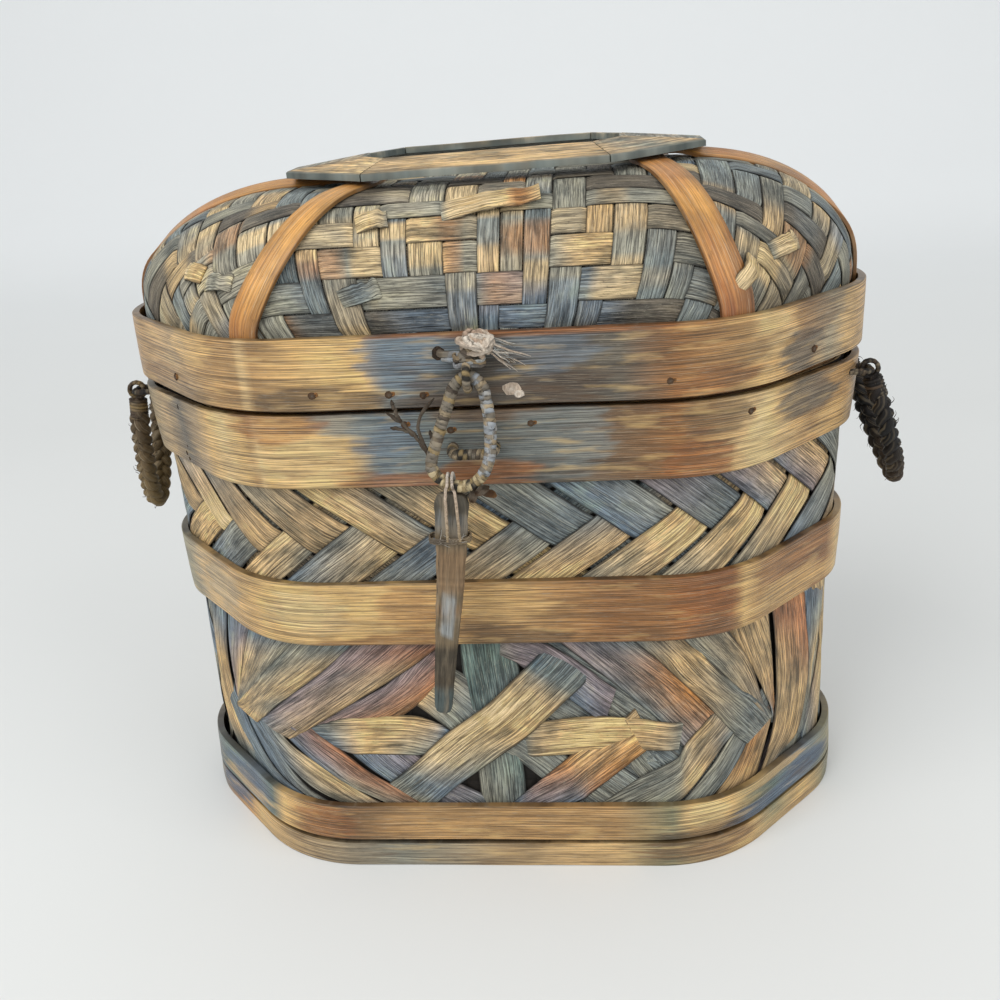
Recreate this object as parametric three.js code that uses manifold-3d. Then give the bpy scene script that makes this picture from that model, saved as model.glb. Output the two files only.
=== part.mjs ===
// Woven bamboo box: an eight-sided basket with round ends, a domed lid that turns on two cane
// rings at the back, a wrapped latch loop with a wooden peg, and a braided handle at each end.
// Millimetres, +Z up, front towards -Y. The origin is the middle of the footprint, on the floor.
import * as THREE from 'three';
import { mergeVertices } from 'three/addons/utils/BufferGeometryUtils.js';
import Module from 'manifold-3d';

const wasm = await Module();
wasm.setup();

// Plan, seen from above, at the outside of the lid rim
const endReach = 133.6;
const frontReach = 72.6;
const endRadius = 42.1;
const cornerRadius = 57.2;
const slantNormalDegrees = 43;

// Fits
const seatGap = 0.3;
const ribGap = 0.6;
const cutOverrun = 1;

// Heights, each stacked on the one before it from the floor up
const footRingHeight = 10.4;
const footGap = 1.6;
const footBandHeight = 14.5;
const lowerWallHeight = 68.3;
const waistHeight = 24.3;
const upperWallHeight = 35.6;
const bodyRimHeight = 25.9;
const lidGap = 1.4;
const lidRimHeight = 23.4;
const domeUprightHeight = 3.6;
const domeRise = 36.9;

const footRingTop = footRingHeight;
const footBandBottom = footRingTop + footGap;
const footBandTop = footBandBottom + footBandHeight;
const waistBottom = footBandTop + lowerWallHeight;
const waistTop = waistBottom + waistHeight;
const bodyRimBottom = waistTop + upperWallHeight;
const bodyRimTop = bodyRimBottom + bodyRimHeight;
const lidRimBottom = bodyRimTop + lidGap;
const lidRimTop = lidRimBottom + lidRimHeight;
const domeBase = lidRimTop + domeUprightHeight;
const domeTop = domeBase + domeRise;

// How far each level of the wall stands inside the lid rim
const footInset = 1.7;
const footBandTopInset = 2.6;
const waistBottomInset = 3.8;
const waistTopInset = 3.0;
const bodyRimBottomInset = 2.3;
const bodyRimTopInset = 0.4;

// Hoops
const hoopThickness = 2.6;
const hoopBevel = 0.5;
const bodyRimEndDip = 1.8;
const lidRimEndRise = 1.2;
const innerHoopThickness = 2.2;
const innerHoopRaise = 3.3;
const innerHoopBottom = bodyRimBottom + innerHoopRaise;
const collarRise = 6.4;
const lidInnerHoopRaise = 7.5;
const lidInnerHoopBottom = lidRimBottom + lidInnerHoopRaise;
const lidInnerHoopHeight = 12.5;

// Woven wall, with its floor, and the lining inside it
const wallPlaitCount = 24;
const plaitSlopeDegrees = 36.8;
const plaitRelief = 1.1;
const weaveThickness = 2.2;
const skirtBottom = 2;
const floorUnderside = 9;
const floorThickness = 1.6;
const lowerPlaitRaise = 33.5;
const lowerPlaitTurn = footBandTop + lowerPlaitRaise;
const upperPlaitRaise = 14.9;
const upperPlaitTurn = waistTop + upperPlaitRaise;
const liningThickness = 1.3;
const liningTopDrop = 2;

// Lid: woven dome and its lining. The crown is where the dome turns flat.
const lidPlaitCount = 44;
const lidPlaitRelief = 0.9;
const lidWeaveThickness = 1.8;
const lidSkirtRaise = 2;
const lidSkirtBottom = lidRimBottom + lidSkirtRaise;
const crownEndSetback = 65.6;
const crownHalfLength = endReach - crownEndSetback;
const crownFrontSetback = 38.6;
const crownHalfDepth = frontReach - crownFrontSetback;
const crownTiltDegrees = 1.15;
const domePlaitRows = 5;
const lidLiningRaise = 6.5;
const lidLiningBottom = lidRimBottom + lidLiningRaise;

// Ribs over the dome
const ribWidth = 9.5;
const wideRibWidth = 12;
const ribThickness = 1.4;
const ribTuck = 13;
const longRibStandoff = 1;
const leftRibRimOffset = 16.5;
const leftRibCrownSetback = 26;
const leftRibCrownX = leftRibCrownSetback - crownHalfLength;
const rightRibRimOffset = 25.5;
const rightRibCrownSetback = 12;
const rightRibCrownX = crownHalfLength - rightRibCrownSetback;

// Top frame: its laths slope down and outward from the opening
const topFrameEndSetback = 60.6;
const topFrameHalfLength = endReach - topFrameEndSetback;
const topFrameFrontSetback = 32.6;
const topFrameHalfDepth = frontReach - topFrameFrontSetback;
const topFrameSlantLength = 33;
const topFrameFlatHalf = topFrameHalfLength - topFrameSlantLength;
const topFrameEndHalf = 7;
const topFrameCentreX = 4;
const topFrameLathWidth = 24;
const topFrameEndWidth = 33;
const topFrameThickness = 2.2;
const topFrameSlope = 3.3;
const topFrameBackTiltDegrees = 1;
const topFrameBevel = 0.5;

// Hinge rings at the back
const hingeSetback = 87.6;
const hingeReach = endReach - hingeSetback;
const hingeRingRadius = 11.5;
const hingeCaneRadius = 1.1;
const hingeStandout = 0.5;
const hingeClearance = 0.6;

// Latch at the front
const latchCordHoleX = -9.4;
const latchCordHoleDrop = 5.9;
const latchCordHoleZ = lidRimTop - latchCordHoleDrop;
const latchCordHoleRadius = 3;
const knotX = 2.2;
const knotDrop = 2.4;
const knotZ = lidRimTop - knotDrop;
const knotRadius = 5.6;
const knotDepthShare = 0.72;
const knotHeightShare = 0.86;
const knotLumpShare = 0.1;
const knotFootShare = 0.6;
const latchPivotX = -1.4;
const latchPivotDrop = 11.9;
const latchPivotZ = lidRimTop - latchPivotDrop;
const latchPivotStandout = 6;
const latchEyeRadius = 4.1;
const latchEyeCordRadius = 1.4;
const latchCordRadius = 2;
const neckCordRadius = 2.6;
const latchLoopDrop = 33;
const latchLoopLeft = 12.6;
const latchLoopRight = 6.2;
const latchLoopStandout = 11.5;
const stapleCaneRadius = 1.7;
const stapleStandout = 6.8;
const stapleHalfWidth = 6.6;
const stapleX = -1.6;
const stapleDrop = 12.1;
const stapleZ = bodyRimTop - stapleDrop;
const legDepthShare = 0.7;
const stapleKneeShare = 0.3;
const stapleBendShare = 0.15;
const pegLength = 80.5;
const pegTopWidth = 11;
const pegTipWidth = 5.8;
const pegThickness = 4.8;
const pegTipThickness = 3;
const pegLeanDegrees = 6;
const pegHang = 3;
const pegTieRadius = 0.75;
const pegTieDrop = 15;
const pegTieClearance = 0.9;
const pegTieShoulderShare = 0.3;
const pegTieBulgeShare = 0.95;

// Braided handles at the ends
const rightHandleEyeSpread = 19;
const leftHandleEyeSpread = 10;
const handleEyeDrop = 6.1;
const handleEyeZ = bodyRimTop - handleEyeDrop;
const handleEyeStandout = 5.4;
const handleEyeHalfWidth = 3.6;
const handleEyeCaneRadius = 1.1;
const handleRingRadius = 2.9;
const handleRingCordRadius = 1.1;
const handleBraidRadius = 4.3;
const handleBraidRelief = 0.55;
const handleLength = 49;
const handleTurnLength = 9;
const rightHandleLeanDegrees = 20;
const leftHandleLeanDegrees = 6;

// Slats under the floor
const slatWidth = 16;
const slatThickness = 2.4;
const slatSetback = 51.6;
const slatSpread = frontReach - slatSetback;
const slatEndGap = 1.2;

const colours = {
  hoop: 0xb08a52, foot: 0xa8874f, wall: 0x6f7a80, lid: 0x6b6a60, lining: 0x5a4a38,
  rib: 0xb9703a, frame: 0xb39a72, cane: 0x8c6f4a, knot: 0xc4a68c, cord: 0x8a7358,
  peg: 0x6e5f52, handle: 0x3a2a20,
};

function finish(colour, roughness = 0.75) {
  return new THREE.MeshStandardMaterial({ color: colour, roughness, metalness: 0 });
}

// Plan outline by distance along it, starting at the +X end and going towards +Y
const slantNormal = THREE.MathUtils.degToRad(slantNormalDegrees);
const endCentreX = endReach - endRadius;
const cornerCentreY = frontReach - cornerRadius;
const cornerCentreX = endCentreX
  + (endRadius - cornerRadius - cornerCentreY * Math.sin(slantNormal)) / Math.cos(slantNormal);
const endArcLength = endRadius * slantNormal;
const cornerArcLength = cornerRadius * (Math.PI / 2 - slantNormal);
const slantLength = Math.hypot(
  endCentreX + endRadius * Math.cos(slantNormal)
    - cornerCentreX - cornerRadius * Math.cos(slantNormal),
  endRadius * Math.sin(slantNormal) - cornerCentreY - cornerRadius * Math.sin(slantNormal),
);
const quarterLength = endArcLength + slantLength + cornerArcLength + cornerCentreX;
const planLength = 4 * quarterLength;

function onArc(centreX, centreY, radius, angle) {
  const nx = Math.cos(angle);
  const ny = Math.sin(angle);
  return { x: centreX + radius * nx, y: centreY + radius * ny, nx, ny };
}

function quarterAt(distance) {
  let rest = distance;
  if (rest <= endArcLength) return onArc(endCentreX, 0, endRadius, rest / endRadius);
  rest -= endArcLength;
  if (rest <= slantLength) {
    const start = onArc(endCentreX, 0, endRadius, slantNormal);
    start.x -= rest * start.ny;
    start.y += rest * start.nx;
    return start;
  }
  rest -= slantLength;
  if (rest <= cornerArcLength) {
    return onArc(cornerCentreX, cornerCentreY, cornerRadius, slantNormal + rest / cornerRadius);
  }
  rest -= cornerArcLength;
  return { x: cornerCentreX - rest, y: frontReach, nx: 0, ny: 1 };
}

function planAt(distance) {
  const s = ((distance % planLength) + planLength) % planLength;
  const quarter = Math.min(3, Math.floor(s / quarterLength));
  const within = s - quarter * quarterLength;
  const p = quarterAt(quarter % 2 ? quarterLength - within : within);
  const signX = quarter === 1 || quarter === 2 ? -1 : 1;
  const signY = quarter >= 2 ? -1 : 1;
  return { x: p.x * signX, y: p.y * signY, nx: p.nx * signX, ny: p.ny * signY };
}

// Halves a range until it closes on the place where a test turns false
function lastTrue(low, high, test) {
  let [from, to] = [low, high];
  for (let k = 0; k < 40; k += 1) {
    const middle = (from + to) / 2;
    if (test(middle)) from = middle;
    else to = middle;
  }
  return from;
}

// The plan distance at which the rim's face is at a given x on the front or the back
function distanceAtX(x, front) {
  const fromEnd = lastTrue(0, quarterLength, (s) => quarterAt(s).x > Math.abs(x));
  if (x >= 0) return front ? planLength - fromEnd : fromEnd;
  return front ? 2 * quarterLength + fromEnd : 2 * quarterLength - fromEnd;
}

// How far out a wall that stands inside the plan by an inset reaches at a given y
function wallXAt(y, inset) {
  const isNearer = (s) => quarterAt(s).y - inset * quarterAt(s).ny < Math.abs(y);
  const place = quarterAt(lastTrue(0, quarterLength, isNearer));
  return place.x - inset * place.nx;
}

// Stations: distances along the plan at which a ring has its points
function hoopStations(endSteps = 4, cornerSteps = 5) {
  const quarter = [];
  for (let i = 0; i <= endSteps; i += 1) quarter.push((endArcLength * i) / endSteps);
  for (let i = 0; i <= cornerSteps; i += 1) {
    quarter.push(endArcLength + slantLength + (cornerArcLength * i) / cornerSteps);
  }
  const all = [];
  for (let q = 0; q < 4; q += 1) {
    for (const s of quarter) all.push(q % 2 ? (q + 1) * quarterLength - s : q * quarterLength + s);
  }
  all.sort((a, b) => a - b);
  return all.filter((s, i) => s < planLength && (i === 0 || s - all[i - 1] > planLength * 1e-6));
}

function evenStations(count, shiftShare = 0) {
  return Array.from({ length: count }, (_, i) => ((i + shiftShare) * planLength) / count);
}

const stations = hoopStations();
const lidInnerStations = hoopStations(3, 3);

function valueOf(value, index, place) {
  return typeof value === 'function' ? value(index, place) : value;
}

function planRing(along, inset, z) {
  const points = along.map((s, i) => {
    const place = planAt(s);
    const inward = valueOf(inset, i, place);
    return new THREE.Vector3(
      place.x - inward * place.nx,
      place.y - inward * place.ny,
      valueOf(z, i, place),
    );
  });
  return { points, along: along.map((s) => s / planLength) };
}

// Skin: a closed surface over a row of rings, zipped by each point's share of its ring.
// A row that isn't closed on itself ends in a fan to each end ring's middle.
function skin(rings, closed = false) {
  const corners = [];
  const face = (a, b, c) => {
    for (const p of [a, b, c]) corners.push(p.x, p.y, p.z);
  };
  const zip = (lower, upper) => {
    const m = lower.points.length;
    const n = upper.points.length;
    const ahead = (ring, i, size) => (i + 1 < size ? ring.along[i + 1] : ring.along[0] + 1);
    let i = 0;
    let j = 0;
    while (i < m || j < n) {
      const stepLower = j === n || (i < m && ahead(lower, i, m) <= ahead(upper, j, n));
      if (stepLower) {
        face(lower.points[i % m], lower.points[(i + 1) % m], upper.points[j % n]);
        i += 1;
      } else {
        face(lower.points[i % m], upper.points[(j + 1) % n], upper.points[j % n]);
        j += 1;
      }
    }
  };
  for (let k = 0; k + 1 < rings.length; k += 1) zip(rings[k], rings[k + 1]);
  const last = rings[rings.length - 1];
  if (closed) {
    zip(last, rings[0]);
  } else {
    const middle = (ring) => ring.points
      .reduce((sum, p) => sum.add(p), new THREE.Vector3())
      .divideScalar(ring.points.length);
    const start = middle(rings[0]);
    const end = middle(last);
    rings[0].points.forEach((p, i, all) => face(start, all[(i + 1) % all.length], p));
    last.points.forEach((p, i, all) => face(p, all[(i + 1) % all.length], end));
  }
  const geometry = new THREE.BufferGeometry();
  geometry.setAttribute('position', new THREE.Float32BufferAttribute(corners, 3));
  return mergeVertices(geometry);
}

function solidOf(geometry) {
  const bare = geometry.clone();
  for (const name of Object.keys(bare.attributes)) {
    if (name !== 'position') bare.deleteAttribute(name);
  }
  const merged = mergeVertices(bare);
  const index = merged.index.array;
  return new wasm.Manifold(new wasm.Mesh({
    numProp: 3,
    vertProperties: new Float32Array(merged.attributes.position.array),
    triVerts: new Uint32Array(index),
  }));
}

function geometryOf(solid) {
  const mesh = solid.getMesh();
  const geometry = new THREE.BufferGeometry();
  geometry.setAttribute('position', new THREE.Float32BufferAttribute(mesh.vertProperties, 3));
  geometry.setIndex(Array.from(mesh.triVerts));
  return geometry;
}

function cut(geometry, tools) {
  let solid = solidOf(geometry);
  for (const tool of tools) solid = solid.subtract(solidOf(tool));
  return geometryOf(solid);
}

function join(geometries) {
  const [first, ...others] = geometries.map(solidOf);
  return geometryOf(others.reduce((sum, solid) => sum.add(solid), first));
}

// Tube: rings of points square to a curve, with a radius that may change along and around it
function tube(curve, steps, radius, sides = 8) {
  const frames = curve.computeFrenetFrames(steps, curve.closed === true);
  const count = curve.closed ? steps : steps + 1;
  const rings = [];
  for (let k = 0; k < count; k += 1) {
    const t = k / steps;
    const centre = curve.getPointAt(t);
    const points = [];
    const along = [];
    for (let i = 0; i < sides; i += 1) {
      const angle = (2 * Math.PI * i) / sides;
      const r = typeof radius === 'function' ? radius(t, angle) : radius;
      points.push(centre.clone()
        .addScaledVector(frames.normals[k], r * Math.cos(angle))
        .addScaledVector(frames.binormals[k], r * Math.sin(angle)));
      along.push(i / sides);
    }
    rings.push({ points, along });
  }
  return skin(rings, curve.closed === true);
}

function curveThrough(points, closed = false) {
  return new THREE.CatmullRomCurve3(points, closed, 'centripetal');
}

// Flat splint: a strip of even width and thickness laid along a row of places on a surface
function splint(places, width, thickness) {
  const rings = places.map(({ point, normal }, i) => {
    const before = places[Math.max(0, i - 1)].point;
    const after = places[Math.min(places.length - 1, i + 1)].point;
    const forward = after.clone().sub(before).normalize();
    const side = forward.clone().cross(normal).normalize();
    const up = side.clone().cross(forward);
    const corner = (across, out) => point.clone()
      .addScaledVector(side, (across * width) / 2)
      .addScaledVector(up, (out * thickness) / 2);
    return {
      points: [corner(-1, -1), corner(-1, 1), corner(1, 1), corner(1, -1)],
      along: [0, 0.25, 0.5, 0.75],
    };
  });
  return skin(rings);
}

// Wall profile: the inset of the hoops' outer faces at each height
const wallLevels = [
  [0, footInset],
  [footBandBottom, footInset],
  [footBandTop, footBandTopInset],
  [waistBottom, waistBottomInset],
  [waistTop, waistTopInset],
  [bodyRimBottom, bodyRimBottomInset],
  [bodyRimTop, bodyRimTopInset],
];

function hoopInsetAt(z) {
  const level = Math.max(1, wallLevels.findIndex(([height]) => height >= z));
  const upper = z > bodyRimTop ? wallLevels.length - 1 : level;
  const [z0, inset0] = wallLevels[upper - 1];
  const [z1, inset1] = wallLevels[upper];
  return THREE.MathUtils.mapLinear(z, z0, z1, inset0, inset1);
}

const weaveFaceInset = (z) => hoopInsetAt(z) + hoopThickness + seatGap;
const weaveInnerInset = (z) => weaveFaceInset(z) + weaveThickness;
const liningFaceInset = (z) => weaveInnerInset(z) + seatGap;
const liningInnerInset = (z) => liningFaceInset(z) + liningThickness;

const endwise = (place) => (Math.abs(place.x) / endReach) ** 4;

function hoop(bottom, top, insetAt, thickness = hoopThickness, edges = {}) {
  const along = edges.along ?? stations;
  const zBottom = (_, place) => bottom + (edges.bottomRise ?? 0) * endwise(place);
  const zTop = (_, place) => top - (edges.topDip ?? 0) * endwise(place);
  const lift = (z, by) => (i, place) => z(i, place) + by;
  const out = insetAt(bottom);
  const outTop = insetAt(top);
  return skin([
    planRing(along, out + hoopBevel, zBottom),
    planRing(along, out, lift(zBottom, hoopBevel)),
    planRing(along, outTop, lift(zTop, -hoopBevel)),
    planRing(along, outTop + hoopBevel, zTop),
    planRing(along, outTop + thickness, zTop),
    planRing(along, out + thickness, zBottom),
  ], true);
}

// Plaited relief on a lattice of strips in two directions. The lattice counts half strips, so
// odd, odd is the middle of a crossing and even, even is where four strips meet.
function plaitDepth(a, b, firstOnTop) {
  const over = (i, j) => firstOnTop(i, j);
  const oddA = Math.abs(a % 2) === 1;
  const oddB = Math.abs(b % 2) === 1;
  if (oddA && oddB) return 0;
  if (!oddA && !oddB) return 1;
  if (!oddA) {
    const j = (b - 1) / 2;
    return over(a / 2 - 1, j) && over(a / 2, j) ? 0 : 1;
  }
  const i = (a - 1) / 2;
  return !over(i, b / 2 - 1) && !over(i, b / 2) ? 0 : 1;
}

const diamond = planLength / wallPlaitCount;
const wallRowStep = (diamond / 4) * Math.tan(THREE.MathUtils.degToRad(plaitSlopeDegrees));

// Strips leaning right lie on top between the two turns, strips leaning left above and below
function rightStripOnTop(i, j) {
  const z = skirtBottom + (i - j) * 2 * wallRowStep;
  return z > lowerPlaitTurn && z < upperPlaitTurn;
}

function bodyWeave() {
  const top = bodyRimTop - liningTopDrop / 2;
  const rings = [
    planRing(stations, weaveInnerInset(floorUnderside), floorUnderside),
    planRing(stations, weaveInnerInset(skirtBottom), skirtBottom),
  ];
  const rows = Math.floor((top - skirtBottom) / wallRowStep);
  for (let k = 0; k <= rows; k += 1) {
    const z = k === rows ? top : skirtBottom + k * wallRowStep;
    const inset = (m) => {
      const a = m + (k + (k % 2)) / 2;
      return weaveFaceInset(z) + plaitRelief * plaitDepth(a, a - k, rightStripOnTop);
    };
    const dipped = (_, place) => (k === rows ? z - bodyRimEndDip * endwise(place) : z);
    rings.push(planRing(evenStations(2 * wallPlaitCount, (k % 2) / 2), inset, dipped));
  }
  const floorTop = floorUnderside + floorThickness;
  const dippedTop = (_, place) => top - bodyRimEndDip * endwise(place);
  rings.push(planRing(stations, weaveInnerInset(top), dippedTop));
  for (const [z] of wallLevels.slice().reverse()) {
    if (z < top && z > floorTop) rings.push(planRing(stations, weaveInnerInset(z), z));
  }
  rings.push(planRing(stations, weaveInnerInset(floorTop), floorTop));
  return skin(rings);
}

function bodyLining() {
  const top = bodyRimTop - liningTopDrop;
  const bottom = floorUnderside + floorThickness + seatGap;
  const levels = wallLevels.map(([z]) => z).filter((z) => z > bottom + liningThickness && z < top);
  const dippedTop = (_, place) => top - bodyRimEndDip * endwise(place);
  return skin([
    planRing(stations, liningFaceInset(bottom), bottom),
    ...levels.map((z) => planRing(stations, liningFaceInset(z), z)),
    planRing(stations, liningFaceInset(top), dippedTop),
    planRing(stations, liningInnerInset(top), dippedTop),
    ...levels.slice().reverse().map((z) => planRing(stations, liningInnerInset(z), z)),
    planRing(stations, liningInnerInset(bottom), bottom + liningThickness),
  ]);
}

// The inner hoop of the body leans with the wall and rises above it as a collar for the lid
function bodyCollar() {
  const top = bodyRimTop + collarRise;
  const shoulder = bodyRimTop - liningTopDrop;
  const face = (z) => liningInnerInset(Math.min(z, shoulder)) + seatGap;
  const heights = [innerHoopBottom, shoulder, top];
  return skin([
    ...heights.map((z) => planRing(stations, face(z), z)),
    ...heights.slice().reverse().map((z) => planRing(stations, face(z) + innerHoopThickness, z)),
  ], true);
}

// Dome: the rim's plan, drawn in towards the crown's plan as it rises along a quarter ellipse.
// The crown tilts up towards +X.
const lidFaceInset = hoopThickness + ribThickness + 2 * ribGap;
const crownTilt = THREE.MathUtils.degToRad(crownTiltDegrees);
const crownLift = (x) => x * Math.tan(crownTilt);

function domePlace(distance, climbShare, inset) {
  const place = planAt(distance);
  const angle = (climbShare * Math.PI) / 2;
  const draw = Math.cos(angle);
  const rimX = place.x - lidFaceInset * place.nx;
  const rimY = place.y - lidFaceInset * place.ny;
  const scaleX = THREE.MathUtils.lerp(crownHalfLength / (endReach - lidFaceInset), 1, draw);
  const scaleY = THREE.MathUtils.lerp(crownHalfDepth / (frontReach - lidFaceInset), 1, draw);
  const tilt = Math.atan2(Math.sin(angle) * (endReach - crownHalfLength), domeRise * draw);
  const normal = new THREE.Vector3(
    place.nx * Math.cos(tilt),
    place.ny * Math.cos(tilt),
    Math.sin(tilt),
  );
  const x = rimX * scaleX;
  const z = domeBase + (domeRise + crownLift(x)) * Math.sin(angle);
  const point = new THREE.Vector3(x, rimY * scaleY, z);
  return { point: point.addScaledVector(normal, -inset), normal };
}

function domeRing(along, climbShare, inset) {
  return {
    points: along.map((s, i) => domePlace(s, climbShare, valueOf(inset, i)).point),
    along: along.map((s) => s / planLength),
  };
}

const lidTwill = (i, j) => (((i + j) % 4) + 4) % 4 < 2;

function lidWeave() {
  const around = evenStations(2 * lidPlaitCount);
  const rows = 2 * domePlaitRows;
  const relief = (row) => (i) => lidPlaitRelief * plaitDepth(i, row, lidTwill);
  const inner = lidInnerStations;
  const innerInset = lidFaceInset + lidWeaveThickness;
  const rings = [planRing(around, lidFaceInset, lidSkirtBottom)];
  for (let k = 0; k <= rows; k += 1) rings.push(domeRing(around, k / rows, relief(k)));
  const outside = skin(rings);
  const climbShares = [0, 0.25, 0.5, 0.75, 1];
  const hollow = skin([
    planRing(inner, innerInset, lidSkirtBottom - cutOverrun),
    ...climbShares.map((share) => domeRing(inner, share, lidWeaveThickness)),
  ]);
  return cut(outside, [hollow]);
}

function lidLining() {
  const around = lidInnerStations;
  const climbShares = [0, 0.25, 0.5, 0.75, 1];
  const face = lidWeaveThickness + seatGap;
  const inside = face + liningThickness;
  return cut(
    skin([
      planRing(around, lidFaceInset + face, lidLiningBottom),
      ...climbShares.map((share) => domeRing(around, share, face)),
    ]),
    [skin([
      planRing(around, lidFaceInset + inside, lidLiningBottom - cutOverrun),
      ...climbShares.map((share) => domeRing(around, share, inside)),
    ])],
  );
}

// Long rib: from end to end in the middle plane, standing clear of the dome at its shoulders
const crossRibTop = domeTop + ribGap + ribThickness;
const longRibTop = crossRibTop + seatGap + ribThickness;

function longRib() {
  const outward = endReach - hoopThickness - ribGap - ribThickness / 2;
  const shoulder = domeBase + longRibStandoff;
  const crown = longRibTop - ribThickness / 2;
  const steps = 9;
  const half = (side) => {
    const tucked = new THREE.Vector3(side * outward, 0, lidRimTop - ribTuck);
    const places = [{ point: tucked, normal: new THREE.Vector3(side, 0, 0) }];
    for (let k = 0; k <= steps; k += 1) {
      const angle = (Math.PI / 2) * (k / steps);
      const draw = Math.cos(angle);
      const x = side * THREE.MathUtils.lerp(crownHalfLength, outward, draw);
      const climb = (crown - shoulder + crownLift(x)) * Math.sin(angle);
      places.push({
        point: new THREE.Vector3(x, 0, shoulder + climb),
        normal: new THREE.Vector3(side * draw, 0, Math.sin(angle)),
      });
    }
    return places;
  };
  return splint([...half(1), ...half(-1).reverse()], ribWidth, ribThickness);
}

// Cross rib: from the front rim over the dome, under the top frame, to the back rim. It shifts
// sideways evenly as it climbs. On the rim it stands beyond the end of the flat front.
const leftRibRimX = -(cornerCentreX + leftRibRimOffset);
const rightRibRimX = cornerCentreX + rightRibRimOffset;

function crossRib(rimX, crownX, width) {
  const lift = ribGap + ribThickness / 2;
  const steps = 7;
  const half = (front) => {
    const places = [];
    for (let k = 0; k <= steps; k += 1) {
      const climbShare = k / steps;
      const draw = Math.cos((climbShare * Math.PI) / 2);
      const scale = THREE.MathUtils.lerp(crownHalfLength / (endReach - lidFaceInset), 1, draw);
      const x = THREE.MathUtils.lerp(rimX, crownX, climbShare);
      places.push(domePlace(distanceAtX(x / scale, front), climbShare, -lift));
    }
    const foot = places[0];
    const tucked = { point: foot.point.clone().setZ(lidRimTop - ribTuck), normal: foot.normal };
    return [tucked, ...places];
  };
  return splint([...half(true), ...half(false).reverse()], width, ribThickness);
}

// Top frame: a lath frame with slanted corners, resting on the long rib
function topFrame() {
  const outline = (inset, endInset, z) => {
    const l = topFrameHalfLength - endInset;
    const d = topFrameHalfDepth - inset;
    const flat = Math.min(topFrameFlatHalf, l - inset / 2);
    const end = topFrameEndHalf;
    return {
      points: [
        [flat, -d], [l, -end], [l, end], [flat, d], [-flat, d], [-l, end], [-l, -end], [-flat, -d],
      ].map(([x, y]) => new THREE.Vector3(x, y, z)),
      along: [0, 0.125, 0.25, 0.375, 0.5, 0.625, 0.75, 0.875],
    };
  };
  const top = topFrameThickness;
  const bevel = topFrameBevel;
  const frame = skin([
    outline(bevel, bevel, 0),
    outline(0, 0, bevel),
    outline(0, 0, top - bevel),
    outline(bevel, bevel, top),
    outline(topFrameLathWidth, topFrameEndWidth, top + topFrameSlope),
    outline(topFrameLathWidth, topFrameEndWidth, topFrameSlope),
  ], true);
  frame.rotateX(THREE.MathUtils.degToRad(topFrameBackTiltDegrees));
  frame.rotateY(-crownTilt);
  const rest = longRibTop + seatGap + crownLift(topFrameCentreX);
  return frame.translate(topFrameCentreX, 0, rest);
}

// Hinge rings: cane hoops in upright planes, centred on the axis that the lid turns about
const hingeAxisY = frontReach + hingeStandout;
const hingeAxisZ = (bodyRimTop + lidRimBottom) / 2;

function hingeRing(side, extra = 0) {
  const ring = new THREE.TorusGeometry(hingeRingRadius, hingeCaneRadius + extra, 7, 22);
  ring.rotateY(Math.PI / 2);
  ring.translate(side * hingeReach, hingeAxisY, hingeAxisZ);
  return ring;
}

const hingeHoles = [-1, 1].map((side) => hingeRing(side, hingeClearance));

// Cylinder lying along X or Y, for cord holes and staple legs
function bar(axis, radius, length, centre, sides = 10) {
  const geometry = new THREE.CylinderGeometry(radius, radius, length, sides);
  if (axis === 'x') geometry.rotateZ(Math.PI / 2);
  geometry.translate(centre.x, centre.y, centre.z);
  return geometry;
}

// Staple: a cane bent square, with both legs pushed into the body rim
function staple(legEnds, barFrom, barTo, radius) {
  const route = curveThrough([
    legEnds[0],
    barFrom.clone().lerp(legEnds[0], stapleKneeShare),
    barFrom.clone().lerp(barTo, stapleBendShare),
    barFrom.clone().lerp(barTo, 0.5),
    barTo.clone().lerp(barFrom, stapleBendShare),
    barTo.clone().lerp(legEnds[1], stapleKneeShare),
    legEnds[1],
  ]);
  return tube(route, 14, radius, 6);
}

const legDepth = hoopThickness * legDepthShare;

function latchStapleLegs() {
  const wall = -(frontReach - hoopInsetAt(stapleZ));
  return [-1, 1].map((side) => new THREE.Vector3(
    stapleX + side * stapleHalfWidth,
    wall + legDepth,
    stapleZ,
  ));
}

function latchStaple() {
  const legs = latchStapleLegs();
  const barY = -(frontReach + stapleStandout);
  const ends = legs.map((leg) => leg.clone().setY(barY));
  return staple(legs, ends[0], ends[1], stapleCaneRadius);
}

function legHole(leg, axis, radius) {
  return bar(axis, radius + seatGap, 4 * hoopThickness, leg);
}

// Handle staples: the bar of each lies along Y, on the axis that its handle swings about
const handleWallX = (y) => wallXAt(y, hoopInsetAt(handleEyeZ));
const handleAxisX = (spread) => handleWallX(spread) + handleEyeStandout;
const eyeSpreadOf = (sideX) => (sideX > 0 ? rightHandleEyeSpread : leftHandleEyeSpread);

function handleStapleLegs(sideX, sideY) {
  return [-1, 1].map((edge) => {
    const y = sideY * eyeSpreadOf(sideX) + edge * handleEyeHalfWidth;
    return new THREE.Vector3(sideX * (handleWallX(y) - legDepth), y, handleEyeZ);
  });
}

function handleStaple(sideX, sideY) {
  const legs = handleStapleLegs(sideX, sideY);
  const axisX = sideX * handleAxisX(eyeSpreadOf(sideX));
  const ends = legs.map((leg) => leg.clone().setX(axisX));
  return staple(legs, ends[0], ends[1], handleEyeCaneRadius);
}

// Handle: two cord rings on the staples' bars and a braid that hangs between them. The shares
// are of the eyes' spread and of the handle's length, from a ring down to near the tip.
const handleBowShares = [[1.02, 0.3], [0.86, 0.55], [0.58, 0.82]];
const handleNeckShare = 0.45;
const handleNeckLengthShare = 0.09;

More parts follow.
